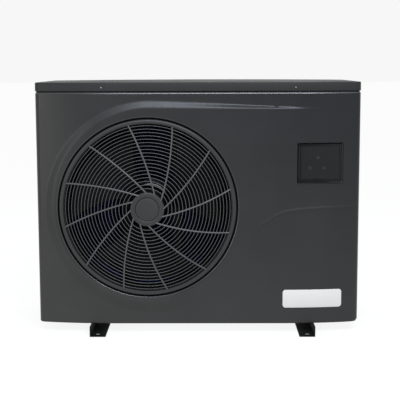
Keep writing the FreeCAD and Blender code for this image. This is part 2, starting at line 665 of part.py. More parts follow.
shaft_y0 = d.fan_front - 16
keep("fan_shaft", rod("fan_shaft", "Y", [d.fan_x, shaft_y0, d.fan_z], d.motor_front - shaft_y0 + 30, d.shaft_rad))
nut = new_body("fan_nut")
HEX = [(polar(11, 60 * k)) for k in range(6)]
pad(nut, "XZ", d.fan_front - 9, 9, [[(d.fan_x + x, d.fan_z + z) for x, z in HEX],
                                    ("circle", d.fan_x, d.fan_z, d.shaft_rad + 0.05)])
motor = new_body("fan_motor")
my0, my1 = d.motor_front, d.motor_front + d.motor_len
turned(motor, "Y", (d.fan_x, d.fan_z), [[
    (my0, d.shaft_rad + 0.08), (my0, 18), (my0 + 8, 20), (my0 + 10, d.motor_rad - 5), (my0 + 20, d.motor_rad),
    (my1 - 12, d.motor_rad), (my1, d.motor_rad - 8), (my1, 0), (my0 + 32, 0), (my0 + 32, d.shaft_rad + 0.08)]])
bracket = new_body("motor_bracket")
by0 = my1
for x in (-70, 70):
    pad(bracket, "XY", z_pan + d.sheet_thick, z_under - z_pan - d.sheet_thick,
        [rect(d.fan_x + x - 12, d.fan_x + x + 12, by0, by0 + 14)])
    pocket(bracket, "XY", z_pan, 700, [rect(d.fan_x + x - 9.5, d.fan_x + x + 9.5, by0 + 2.5, by0 + 15)])
pad(bracket, "XZ", by0, 2.5, [rect(d.fan_x - 70, d.fan_x + 70, d.fan_z - 48, d.fan_z + 48)])
pocket(bracket, "XZ", by0 - 1, 5, [("circle", d.fan_x, d.fan_z, 20)])

# ---------------------------------------------------------------- evaporator
fins = new_body("evaporator_fins")
coil_back = guard_y - 4
coil_front = coil_back - d.coil_thick
coil_left = x_left + d.wall + 7
coil_end = d.divider_x - 22
leg_front = base_y + d.sweep + 22
coil = [(coil_left, leg_front), (coil_left + d.coil_thick, leg_front), (coil_left + d.coil_thick, coil_front),
        (coil_end, coil_front), (coil_end, coil_back), (coil_left, coil_back)]
pad(fins, "XY", d.coil_z0, d.coil_z1 - d.coil_z0, [coil])
end_plate = doc.addObject("PartDesign::Body", "end_plate")
pad(end_plate, "XY", z_pan + d.sheet_thick, d.coil_z1 + 4 - z_pan - d.sheet_thick,
    [rect(coil_end, coil_end + 2, coil_front, coil_back)])
front_plate = doc.addObject("PartDesign::Body", "side_plate")
pad(front_plate, "XY", z_pan + d.sheet_thick, d.coil_z1 + 4 - z_pan - d.sheet_thick,
    [rect(coil_left, coil_left + d.coil_thick, leg_front - 2, leg_front)])
group("coil_end_plates", [end_plate, front_plate])
bends = []
bend_x = coil_end.value + 2
BEND_PITCH = 50
row = 0
while SIZES["coil_z0"] + 30 + row * BEND_PITCH + 25.4 < SIZES["coil_z1"] - 135:
    z = SIZES["coil_z0"] + 30 + row * BEND_PITCH
    for y in (coil_front.value + 8, coil_back.value - 8):
        bends.append(tube([(bend_x, y, z), (bend_x + 12, y, z), (bend_x + 12, y, z + 25.4), (bend_x, y, z + 25.4)],
                          4.76, 8))
    row += 1
tubes("coil_return_bends", bends)

divider = new_body("divider")
pad(divider, "YZ", d.divider_x, 1.5, [rect(inner_front + 19, coil_back, z_pan + d.sheet_thick, z_under)])
pad(divider, "XY", z_pan + d.sheet_thick, 1.5, [rect(d.divider_x, d.divider_x + 14, inner_front + 19, coil_back)])
pocket(divider, "YZ", d.divider_x - 1, 4, [rect(coil_front + 1, coil_back - 1, 508, 558)])

# ---------------------------------------------------------------- heat exchanger and water side
hx = new_body("exchanger_shell")
turned(hx, "Z", (d.hx_x, d.hx_y), [[
    (d.hx_z0, 0), (d.hx_z0, d.hx_rad - 6), (d.hx_z0 + 6, d.hx_rad), (d.hx_z1 - 6, d.hx_rad),
    (d.hx_z1, d.hx_rad - 6), (d.hx_z1, 0), (d.hx_z1 - 5, 0), (d.hx_z1 - 5, d.hx_rad - 9),
    (d.hx_z1 - 9, d.hx_rad - 5), (d.hx_z0 + 9, d.hx_rad - 5), (d.hx_z0 + 5, d.hx_rad - 9), (d.hx_z0 + 5, 0)]])
for z in (d.pipe_in_z, d.pipe_out_z):
    pad(hx, "XZ", d.hx_y + d.hx_rad - 10, 32, [("circle", d.hx_x, z, d.pipe_rad + 6)])
doc.recompute()
for z in (d.pipe_in_z, d.pipe_out_z):
    pocket(hx, "XZ", d.hx_y + d.hx_rad - 20, 60, [("circle", d.hx_x, z, d.pipe_bore)])
    pocket(hx, "XZ", d.hx_y + d.hx_rad + 4, 40, [("circle", d.hx_x, z, d.pipe_rad + 0.3)])
for z in (d.hx_z1 - 70, d.hx_z0 + 130):
    pocket(hx, "YZ", d.hx_x - d.hx_rad - 2, 20, [("circle", d.hx_y, z, 6.4)])

titanium = doc.addObject("PartDesign::Body", "titanium_helix")
helix_profile = sketch_on(titanium, "XZ", 0, [("circle", d.hx_rad - 19, 0, 6)])
helix = titanium.newObject("PartDesign::AdditiveHelix", "coil_helix")
helix.Profile = helix_profile
helix.ReferenceAxis = (helix_profile, ["V_Axis"])
helix.Mode = 0
helix.Pitch = 18
bind(helix, "Height", d.hx_z1 - d.hx_z0 - 120)
bind(titanium, "Placement.Base.x", d.hx_x)
bind(titanium, "Placement.Base.y", d.hx_y)
bind(titanium, "Placement.Base.z", d.hx_z0 + 52)
spacer_r = d.hx_rad - 9
spacers = [rod("spacer", "Z", [d.hx_x + spacer_r * x, d.hx_y + spacer_r * y, d.hx_z0 + 9], d.hx_z1 - d.hx_z0 - 60, 3.8)
           for x, y in ((1, 0), (-0.5, -0.866), (-0.94, 0.342))]
group("titanium_coil", [titanium] + spacers)

stand = doc.addObject("PartDesign::Body", "stand")
pad(stand, "XY", z_pan + d.sheet_thick, d.hx_z0 - z_pan - d.sheet_thick, [
    ("circle", d.hx_x, d.hx_y, d.hx_rad - 8), ("circle", d.hx_x, d.hx_y, d.hx_rad - 20)])
strap = doc.addObject("PartDesign::Body", "strap")
pad(strap, "XY", 300, 14, [("circle", d.hx_x, d.hx_y, d.hx_rad + 2.3), ("circle", d.hx_x, d.hx_y, d.hx_rad + 0.3)])
pad(strap, "XY", 300, 14, [rect(d.hx_x + d.hx_rad + 1.5, x_right - d.wall, d.hx_y - 1, d.hx_y + 1)])

group("exchanger_mounting", [stand, strap])

y_boss = d.hx_y + d.hx_rad + 5
collar0, collar1 = d.back_y + 4, d.back_y + 22
tails = []
for way, z in (("inlet", d.pipe_in_z), ("outlet", d.pipe_out_z)):
    pipe = new_body("water_%s_pipe" % way)
    turned(pipe, "Y", (d.hx_x, z), [[
        (y_boss, d.pipe_bore), (y_boss, d.pipe_rad), (collar0 - 3, d.pipe_rad), (collar0 - 3, 30.6),
        (collar1, 30.6), (collar1, d.pipe_bore)]])
    if way == "inlet":
        pocket(pipe, "XY", z, 40, [("circle", d.hx_x, 95, 6.5)])
    tail_piece = doc.addObject("PartDesign::Body", "tail_" + way)
    tails.append(tail_piece)
    t0 = collar1 + 2
    turned(tail_piece, "Y", (d.hx_x, z), [[
        (t0, d.pipe_bore), (t0, 30.6), (t0 + 5, 30.6), (t0 + 5, 29), (t0 + 9 + d.union_deep, 29),
        (t0 + 9 + d.union_deep, d.union_bore), (t0 + 9, d.union_bore), (t0 + 9, d.pipe_bore)]])
    ring_nut = new_body("union_%s_nut" % way)
    turned(ring_nut, "Y", (d.hx_x, z), [[
        (collar0, 30.7), (collar0, 38), (collar0 + 26, 38), (collar0 + 32, 34), (collar0 + 32, 29.1),
        (t0 + 5.4, 29.1), (t0 + 5.4, 30.7)]])
    doc.recompute()
    groove = pocket(ring_nut, "XZ", collar0 - 1, 24, [("circle", d.hx_x + 40, z, 4)])
    doc.recompute()
    nut_ribs = ring_nut.newObject("PartDesign::PolarPattern", "nut_ribs")
    nut_ribs.Originals = [groove]
    nut_ribs.Axis = (ring_nut.Group[0], ["H_Axis"])
    nut_ribs.Angle = 360
    nut_ribs.Occurrences = 12
    ring_nut.Tip = nut_ribs
group("union_tails", tails)
gaskets = []
for z in (d.pipe_in_z, d.pipe_out_z):
    outer = rod("gasket_out", "Y", [d.hx_x, collar1, z], 2, 29)
    gaskets.append(less("gasket", outer, rod("gasket_in", "Y", [d.hx_x, collar1 - 1, z], 4, 22)))
group("union_gaskets", gaskets)

switch = new_body("flow_switch")
sz = d.pipe_in_z + d.pipe_rad
turned(switch, "Z", (d.hx_x, 95), [[(sz - 6, 7), (sz - 6, 15), (sz + 14, 15), (sz + 14, 11), (sz + 44, 11),
                                    (sz + 44, 0), (sz + 16, 0), (sz + 16, 7)]])
pocket(switch, "XZ", 60, 70, [("circle", d.hx_x, d.pipe_in_z, d.pipe_rad + 0.3)])
pivot_z = sz + 8
pocket(switch, "YZ", d.hx_x - 11, 22, [("circle", 95, pivot_z, 1.55)])
paddle_y = dim(95)
arm = rod("paddle_arm", "Z", [d.hx_x, paddle_y, d.pipe_in_z], pivot_z - d.pipe_in_z, 1.6)
disc = rod("paddle_disc", "Y", [d.hx_x, paddle_y - 0.9, d.pipe_in_z], 1.8, 12)
pin = rod("paddle_pin", "X", [d.hx_x - 10, paddle_y, pivot_z], 20, d.pin_rad)
keep("flow_paddle", joined("flow_paddle", arm, disc, pin))

# ---------------------------------------------------------------- compressor side
comp = new_body("compressor")
turned(comp, "Z", (d.comp_x, d.comp_y), [[
    (d.comp_z0, 0), (d.comp_z0, 40), (d.comp_z0 + 12, d.comp_rad - 4), (d.comp_z0 + 26, d.comp_rad),
    (d.comp_z1 - 44, d.comp_rad), (d.comp_z1 - 42, d.comp_rad - 2), (d.comp_z1 - 18, d.comp_rad - 8),
    (d.comp_z1 - 4, 34), (d.comp_z1, 16), (d.comp_z1, 0)]])
plate = []
for a in (-30, 90, 210):
    for da in (-12, 12):
        px, py = polar(82, a + da)
        plate.append((d.comp_x + px, d.comp_y + py))
pad(comp, "XY", d.comp_z0 - 3, 4, [plate])
for ox, oy in comp_bolts:
    pocket(comp, "XY", d.comp_z0 - 5, 8, [("circle", d.comp_x + ox, d.comp_y + oy, 8.3)])
grommets, studs = [], []
pan_top = z_pan + d.sheet_thick
for ox, oy in comp_bolts:
    gx, gy = d.comp_x + ox, d.comp_y + oy
    low = rod("grommet_low", "Z", [gx, gy, pan_top], d.comp_z0 - 3 - pan_top, 14)
    neck = rod("grommet_neck", "Z", [gx, gy, d.comp_z0 - 4], 8, 8)
    grommets.append(less("grommet", joined("grommet_whole", low, neck),
                         rod("grommet_bore", "Z", [gx, gy, z_pan], 40, 4.3)))
    studs.append(screw("Z", [gx, gy, d.comp_z0 + 4], 9, 5, 4, d.comp_z0 + 4 - z_pan, 1))
group("compressor_grommets", grommets)
group("compressor_studs", studs)
acc = new_body("accumulator")
acc_x, acc_y = d.comp_x - 14, d.comp_y - d.comp_rad - 34
turned(acc, "Z", (acc_x, acc_y), [[
    (100, 0), (100, 18), (108, 26), (116, 28), (264, 28), (272, 26), (280, 18), (280, 0)]])
cap_block = block("cap_block", d.comp_x + 18, d.comp_x + 40, d.comp_y - 10, d.comp_y + 24,
                  d.comp_z1 - 12, d.comp_z1 + 18)
keep("terminal_cap", less("terminal_cap", cap_block, comp))

valve = joined("four_way_valve", rod("valve_body", "X", [d.comp_x - 50, d.comp_y - 30, 420], 100, 14),
               rod("valve_top", "Z", [d.comp_x, d.comp_y - 30, 430], 24, 6),
               rod("valve_pilot", "X", [d.comp_x - 30, d.comp_y - 42, 432], 60, 5),
               block("valve_coil", d.comp_x - 24, d.comp_x + 24, d.comp_y - 18, d.comp_y + 15, 404, 440))
keep("four_way_valve", valve)
keep("expansion_valve", joined("expansion_valve", rod("txv_body", "Z", [150, -60, 470], 34, 12),
                               rod("txv_head", "Z", [150, -60, 503], 16, 20),
                               rod("txv_neck", "Z", [150, -60, 455], 20, 6)))
drier = doc.addObject("PartDesign::Body", "drier")
turned(drier, "Z", (150, -60), [[(330, 0), (330, 8), (345, 19), (395, 19), (410, 8), (410, 0)]])

cy = SIZES["comp_y"]
cx = SIZES["comp_x"]
top = SIZES["comp_z1"]
discharge = tube([(cx, cy, top), (cx, cy, top + 30), (cx, cy - 30, top + 30), (cx, cy - 30, 406)], 5, 12)
ax, ay = acc_x.value, acc_y.value
suction = tube([(ax, ay, 280), (ax, ay, 380), (cx - 25, cy - 30, 380), (cx - 25, cy - 30, 406)], 6, 8)
acc_foot = tube([(ax, ay, 100), (ax, ay, 80), (ax, cy - SIZES["comp_rad"] - 0.3, 80)], 7, 9)
port_x, port_y = SIZES["hx_x"] - SIZES["hx_rad"] + 0.2, SIZES["hx_y"]
port_low, port_high = SIZES["hx_z0"] + 130, SIZES["hx_z1"] - 70
to_hx = tube([(cx + 25, cy - 30, 406), (cx + 25, cy - 30, 372), (cx + 50, port_y, 372), (cx + 50, port_y, port_high),
              (port_x, port_y, port_high)], 6, 9)
liquid_a = tube([(150, -60, 330), (150, -60, 300), (230, port_y, 300), (230, port_y, port_low),
                 (port_x, port_y, port_low)], 6, 9)
liquid_b = tube([(150, -60, 410), (150, -60, 455)], 5, 9)
low_y, high_y = coil_front.value + 8, coil_back.value - 8
coil_feed = tube([(150, -60, 519), (150, -60, 546), (150, low_y, 546), (coil_end.value + 2, low_y, 546)], 5, 9)
to_coil = tube([(cx, cy - 30, 454), (cx, cy - 30, 520), (cx, high_y, 520), (coil_end.value + 2, high_y, 520)], 6, 9)
tubes("gas_lines", [discharge, suction, acc_foot, to_hx])
liquid = doc.addObject("Part::Feature", "liquid_runs")
liquid.Shape = Part.makeCompound([liquid_a, liquid_b])
group("liquid_line_and_drier", [liquid, drier])
tubes("evaporator_lines", [coil_feed, to_coil])

# ---------------------------------------------------------------- electrical box
box_x0, box_x1 = d.divider_x + 4, x_right - d.wall - 10
box_y0, box_y1 = dim(-120), dim(150)
box = new_body("control_box")
pad(box, "XY", box_z0, box_z1 - box_z0, [rect(box_x0, box_x1, box_y0, box_y1)])
pad(box, "XY", box_z0, 1.5, [rect(d.divider_x + 1.5, x_right - d.wall, box_y0, box_y1)])
pocket(box, "XY", box_z0 + 1.5, 200, [rect(box_x0 + 1.5, box_x1 - 1.5, box_y0 + 1.5, box_y1 - 1.5)])
keep("control_box_cover", block("control_box_cover", box_x0 - 1.5, box_x1 + 1.5, box_y0 - 1.5, box_y1 + 1.5,
                                box_z1, box_z1 + 1.5))
floor_z = box_z0 + 1.5
posts = [rod("standoff", "Z", [x, y, floor_z], 6, 3) for x in (175, 295) for y in (-80, 60)]
board = [block("board", 165, 305, -90, 70, floor_z + 6, floor_z + 7.6)]
chips = [block("relay", 180 + 32 * i, 204 + 32 * i, -75, -58, floor_z + 7.6, floor_z + 24) for i in range(3)]
chips += [block("sink", 190, 240, -10, 40, floor_z + 7.6, floor_z + 32)]
chips += [rod("cap", "Z", [270, y, floor_z + 7.6], 30, 11) for y in (-10, 22)]
keep("main_board", joined("main_board", *(posts + board + chips)))
keep("run_capacitor", joined("run_capacitor", rod("can", "X", [325, -70, floor_z + 22.4], 70, 22),
                             rod("stud", "X", [394, -70, floor_z + 22.4], 8, 4)))
contactor = joined("contactor", block("contactor_low", 325, 385, -20, 40, floor_z, floor_z + 40),
                   block("contactor_top", 335, 375, -8, 28, floor_z + 40, floor_z + 56))
base = block("terminal_base", 165, 305, 95, 125, floor_z, floor_z + 20)
walls = [block("terminal_wall", 165 + 23 * i, 168 + 23 * i, 95, 125, floor_z + 20, floor_z + 28) for i in range(7)]
group("terminals_and_contactor", [joined("terminal_block", base, *walls), contactor])
gland_list = []
for x in GLAND_X:
    head = rod("gland_head", "Y", [x, d.back_y, gland_z], 16, 11)
    body_rod = rod("gland_thread", "Y", [x, d.back_y - 14, gland_z], 16, 8)
    lock = rod("gland_lock", "Y", [x, d.back_y - d.wall - 5, gland_z], 5, 11)
    gland_list.append(less("gland", joined("gland_whole", head, body_rod, lock),
                           rod("gland_bore", "Y", [x, d.back_y - 20, gland_z], 40, 5.5)))
group("cable_glands", gland_list)

# ---------------------------------------------------------------- controller
ctrl = new_body("controller_body")
face_front = base_y - 0.5
face_floor = face_front + d.ctrl_deep
gap = d.slack
pad(ctrl, "XZ", face_front, d.ctrl_box_deep, [rect(cx0 + gap, cx1 - gap, cz0 + gap, cz1 - gap)])
pad(ctrl, "XZ", inner_front + 2, 2.5, [rect(cx0 - 9, cx1 + 9, cz0 - 9, cz1 + 9)])
fx0, fx1 = cx0 + d.ctrl_bevel, cx1 - d.ctrl_bevel
fz0, fz1 = cz0 + d.ctrl_bevel, cz1 - d.ctrl_bevel
lofted(ctrl, "XZ", [face_front, face_floor], [rect(cx0 + 2, cx1 - 2, cz0 + 2, cz1 - 2), rect(fx0, fx1, fz0, fz1)],
       "PartDesign::SubtractiveLoft")
pocket(ctrl, "XZ", face_floor + 3, 60, [rect(cx0 + 3, cx1 - 3, cz0 + 3, cz1 - 3)])
hinge_y, hinge_z = face_front + 14.5, fz1 - 3
pocket(ctrl, "YZ", fx0 - 4.2, fx1 - fx0 + 8.4, [("circle", hinge_y, hinge_z, d.pin_rad + 0.05)])
BUTTONS = (("button_mode", -5.3, 14.1), ("button_down", -25.6, -13.6), ("button_up", 11.2, -13.7))
holes = [("circle", d.ctrl_x + bx, d.ctrl_z + bz, d.button_rad + 0.05) for _, bx, bz in BUTTONS]
pocket(ctrl, "XZ", face_floor - 1, 6, holes)
keep("display_window", block("display_window", d.ctrl_x - 40, d.ctrl_x + 40, face_floor - 1.5, face_floor,
                             d.ctrl_z + 22, d.ctrl_z + 41))
for name, bx, bz in BUTTONS:
    at_x, at_z = d.ctrl_x + bx, d.ctrl_z + bz
    keep(name, joined(name, rod("key", "Y", [at_x, face_floor - 2.4, at_z], 6, d.button_rad),
                      rod("key_flange", "Y", [at_x, face_floor + 3.1, at_z], 2, d.button_rad + 2)))
cover = new_body("display_cover")
pad(cover, "XZ", hinge_y - d.cover_thick / 2, d.cover_thick,
    [rect(fx0 + 2, fx1 - 2, fz0 + 1.5, hinge_z + 1.9)])
pad(cover, "YZ", fx0 - 3.8, fx1 - fx0 + 7.6, [("circle", hinge_y, hinge_z, d.pin_rad)])
pad(cover, "XZ", hinge_y - d.cover_thick / 2 - 2, 3, [rect(d.ctrl_x - 12, d.ctrl_x + 12, fz0 + 1.5, fz0 + 5)])

# ---------------------------------------------------------------- badge and screws
badge = new_body("badge_plate")
line = half_front(1, dim(0))
front_pts = [(d.badge_x0, base_y)] + line[:3]
t_end = (d.badge_x1 - d.case_x - d.flat_half) / (d.case_w / 2 - d.corner - d.flat_half)
low_x, low_y = line[2]
high_x, high_y = line[3]
end_y = low_y + (high_y - low_y) * (d.badge_x1 - low_x) / (high_x - low_x)
front_pts.append((d.badge_x1, end_y))
outline = front_pts + [(x, y - d.badge_thick) for x, y in reversed(front_pts)]
pad(badge, "XY", d.badge_z0, d.badge_z1 - d.badge_z0, [outline])

lid_screws = []
for x in LID_SCREWS:
    at = d.case_x + x
    sweep_part = 19 * ((abs(x) - 230) / 186) ** 2
    lid_screws.append(screw("Y", [at, base_y - d.lid_over + sweep_part, lid_screw_z], 4, 2, 2, 12, -1))
    lid_screws.append(screw("Y", [at, rear_lid, lid_screw_z], 4, 2, 2, 12, 1))
group("lid_screws", lid_screws)

# ---------------------------------------------------------------- checks and files
doc.recompute()
problems = []
for obj in doc.Objects:
    if any(word in state for state in obj.State for word in ("Invalid", "Error")):
        problems.append("%s: %s" % (obj.Label, obj.State))
for name, obj in nodes.items():
    shape = obj.Shape
    if shape.isNull() or not shape.isValid() or not shape.Solids:
        problems.append("%s: shape not valid" % name)
if problems:
    raise RuntimeError("; ".join(problems))
os.makedirs("parts", exist_ok=True)
for name, obj in nodes.items():
    obj.Shape.exportStep("parts/%s.step" % name)
print(len(nodes), "nodes written")
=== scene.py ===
import bmesh
import bpy
import math
import numpy as np
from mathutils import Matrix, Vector


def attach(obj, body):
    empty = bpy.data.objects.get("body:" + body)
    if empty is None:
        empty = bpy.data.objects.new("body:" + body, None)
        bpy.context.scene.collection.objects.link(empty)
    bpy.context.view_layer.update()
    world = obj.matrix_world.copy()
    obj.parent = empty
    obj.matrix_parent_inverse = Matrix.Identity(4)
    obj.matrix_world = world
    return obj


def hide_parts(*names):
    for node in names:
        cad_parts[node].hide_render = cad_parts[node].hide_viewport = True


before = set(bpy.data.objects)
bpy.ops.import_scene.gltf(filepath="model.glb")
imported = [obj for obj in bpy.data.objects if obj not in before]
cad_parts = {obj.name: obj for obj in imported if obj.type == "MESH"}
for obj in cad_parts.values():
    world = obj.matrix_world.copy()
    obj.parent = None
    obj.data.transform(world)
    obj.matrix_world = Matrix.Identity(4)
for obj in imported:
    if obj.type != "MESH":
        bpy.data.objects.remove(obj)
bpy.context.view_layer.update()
MM = 0.001

# ------------------------------------------------------------------ sizes, mm
CASE_X, CASE_W = -11.0, 860.0  # middle and width of the casing
BASE_Y, RELIEF, SWEEP = -164.0, 6.0, 19.0  # front face, its raised area, how far its ends sweep back
FLAT_HALF, CORNER = 230.0, 14.0
END_X = CASE_W / 2 - CORNER
WALL, EDGE_R, ROW_STEP = 3.0, 3.2, 2.5
PANEL_Z0, PANEL_Z1 = 27.0, 646.0
RETURN_Y = -75.0
LID_Z0, LID_EDGE, LID_TOP = 648.0, 671.0, 676.2
BACK_Y = 170.0
SCREW_X, SCREW_Z = (-252, 256), 657.8
FAN_X, FAN_Z = -143.5, 341.3
RECESS_R, OPEN_R, RIM_R = 238.5, 222.0, 234.0
DOME, HUB_R = 26.0, 45
RING_W, RING_DEEP = 0.85, 3.4
SPOKES, SPOKE_W, SPOKE_BOW = 12, 2.1, 7.3
FRONT_Y = -170.0
FLOOR_Y = FRONT_Y + 8.0
ORIFICE_Y = -159.0
BLADES, BLADE_IN, BLADE_OUT, BLADE_Y = 3, 46, 204, -142
COIL_X, COIL_Y, COIL_Z, COIL_LEG = (-431.0, 90.0), (130.0, 160.0), (34.0, 630.0), -123.0
FIN_PITCH, FIN_ROOM, FIN_SWAY, FIN_THICK, FIN_FOLDS = 2.6, 3.8, 3.4, 0.35, 6
TUBE_PITCH, TUBE_R = 25.4, 4.6
CTRL = (250.0, 373.0, 404.0, 513.0)  # controller opening: left, right, bottom, top
POCKET_FLOOR = -144.5
COVER, COVER_TAB = (260.5, 362.5, 414.2, 503.3), (299.5, 323.5, 414.6, 417.8)
HINGE = (-150, 501.5)
KEY_MARKS = ((306.2, 472.6), (285.9, 444.9), (322.7, 444.8))
BADGE, BADGE_CORNER = (214.6, 372.8, 70.8, 119.4), 8.0

# raised area, x from the casing's middle and z from its lower edge: centre and radius of its outer and
# inner edge round the fan, the height of its upper step, and the curves of its tail and ridge
HEAD_OUT, HEAD_IN = (-122.6, 314.05, 284.3), (-127.5, 318.9, 257.8)
STEP_Z = 576.4
TAIL_X = np.array([-122.6, -46, 32.5, 111, 190, 269, 347])
TAIL_Z = np.array([598.4, 595.1, 591.0, 586.0, 581.5, 578.4, 577.0])
SWOOSH = np.array([(120, 222), (154.7, 254.8), (178.5, 274.9), (205, 292.2), (231.5, 302.8),
                   (271, 308.8), (324, 311.9), (404, 314.3), (430, 314.8)])
UPPER_EDGE = ((4.4, 0.0), (4.0, 0.12), (1.5, 1.2), (0.6, 1.9), (0.15, 2.6), (0.0, 3.2))

# ------------------------------------------------------------------ camera and light
PHOTO_PX, FOCAL_PX, SENSOR = 400.0, 1012.0, 36.0
CAMERA_AT, CAMERA_TURN = (0.01778, -2.81543, 0.71559), (90 - 7.595, 0.171, 0.482)
WORLD_LIGHT, FLOOR_LIGHT, FLOOR_HALF = 0.93, 0.86, 40.0
LIGHTS = (  # name, place, aim, size, watts, colour
    ("top_soft", (0.1, 0.1, 2.7), (0, 0, 0.3), (2.4, 1.4), 12, (0.97, 0.98, 1.0)),
    ("front_high", (0.35, -2.5, 2.35), (0.05, -0.17, 0.5), (2.0, 0.7), 114, (0.8, 0.88, 1.0)),
    ("left_high", (-2.0, -2.1, 1.15), (-0.2, -0.17, 0.4), (0.8, 1.3), 9, (0.86, 0.93, 1.0)),
    ("low_left", (-2.0, -2.2, 0.45), (-0.2, -0.17, 0.2), (1.0, 0.6), 7, (1.0, 0.93, 0.76)),
)


# ------------------------------------------------------------------ materials
def node(tree, kind, **inputs):
    """A new shader node. A socket is linked, any other value is set."""
    made = tree.nodes.new(kind)
    for key, value in inputs.items():
        spot = made.inputs[key.replace("_", " ")]
        if isinstance(value, bpy.types.NodeSocket):
            tree.links.new(value, spot)
        else:
            spot.default_value = value
    return made


def grey(v, tint=(1.0, 1.0, 1.0)):
    return tuple(v * c for c in tint)


def ramp(tree, source, low, high, start=0.0, end=1.0):
    """A colour ramp with two stops."""
    made = node(tree, "ShaderNodeValToRGB", Fac=source)
    first, last = made.color_ramp.elements[0], made.color_ramp.elements[1]
    first.position, first.color = start, (*low, 1)
    last.position, last.color = end, (*high, 1)
    return made.outputs["Color"]


def blend(tree, kind, fac, first, second):
    made = node(tree, "ShaderNodeMixRGB", Fac=fac, Color1=first, Color2=second)
    made.blend_type = kind
    return made.outputs["Color"]


def noise(tree, source, scale, detail, rough):
    return node(tree, "ShaderNodeTexNoise", Vector=source, Scale=scale, Detail=detail,
                Roughness=rough).outputs["Fac"]


COAT_ROUGH, BUMP_STRENGTH, ROUGH_LEAST = 0.12, 0.6, 0.03
NOISE_LOW, NOISE_HIGH = 0.3, 0.7
# painted shade: how far it leans to the right, the span it ramps over and its cool tint
SHADE_LEAN, SHADE_FROM, SHADE_TO, SHADE_TINT = 0.45, -0.15, 0.75, (0.9, 0.98, 1.14)


def material(name, low, high, rough, rough_spread=0.06, metallic=0.0, grain=900.0, bump=0.02,
             patch=6.0, wear=None, coat=0.0, speckle=0.0, shine=0.5, stretch=None, painted_shade=0.0):
    """A painted, moulded or metal finish. Slow noise drifts its colour and roughness, fine noise
    dents it. wear scuffs it with a second colour. Painted shade darkens it towards the top and the right, by
    the amount given."""
    m = bpy.data.materials.new(name)
    m.use_nodes = True
    t = m.node_tree
    shader = t.nodes["Principled BSDF"]
    shader.inputs["Metallic"].default_value = metallic
    shader.inputs["Specular IOR Level"].default_value = shine
    shader.inputs["Coat Weight"].default_value = coat
    shader.inputs["Coat Roughness"].default_value = COAT_ROUGH
    place = node(t, "ShaderNodeTexCoord").outputs["Object"]
    source = place
    if stretch:
        source = node(t, "ShaderNodeMapping", Vector=place, Scale=stretch).outputs["Vector"]
    slow = noise(t, source, patch, 4.0, 0.6)
    fine = noise(t, source, grain, 2.0, 0.5)
    colour = ramp(t, slow, low, high, NOISE_LOW, NOISE_HIGH)
    if speckle:
        colour = blend(t, "MULTIPLY", speckle, colour, fine)
    if wear:
        mask = ramp(t, noise(t, source, 38.0, 8.0, 0.75), grey(0.0), grey(0.5), 0.62, 0.8)
        colour = blend(t, "MIX", mask, colour, (*wear, 1))
    # painted shade: the colour darkens towards the top and the right, standing in for the light falling off
    # there
    if painted_shade:
        axes = node(t, "ShaderNodeSeparateXYZ", Vector=place)
        lean = node(t, "ShaderNodeMath")
        lean.operation = "MULTIPLY_ADD"
        lean.inputs[1].default_value = SHADE_LEAN
        t.links.new(axes.outputs["X"], lean.inputs[0])
        t.links.new(axes.outputs["Z"], lean.inputs[2])
        span = node(t, "ShaderNodeMapRange", Value=lean.outputs["Value"], From_Min=SHADE_FROM,
                    From_Max=SHADE_TO)
        shade_ramp = ramp(t, span.outputs["Result"], grey(1.0), grey(1.0 - painted_shade, SHADE_TINT))
        colour = blend(t, "MULTIPLY", 1.0, colour, shade_ramp)
    t.links.new(colour, shader.inputs["Base Color"])
    spread = node(t, "ShaderNodeMapRange", Value=slow, From_Min=NOISE_LOW, From_Max=NOISE_HIGH,
                  To_Min=max(ROUGH_LEAST, rough - rough_spread), To_Max=rough + rough_spread)
    t.links.new(spread.outputs["Result"], shader.inputs["Roughness"])
    dents = node(t, "ShaderNodeBump", Strength=BUMP_STRENGTH, Distance=bump * MM, Height=fine)
    t.links.new(dents.outputs["Normal"], shader.inputs["Normal"])
    return m


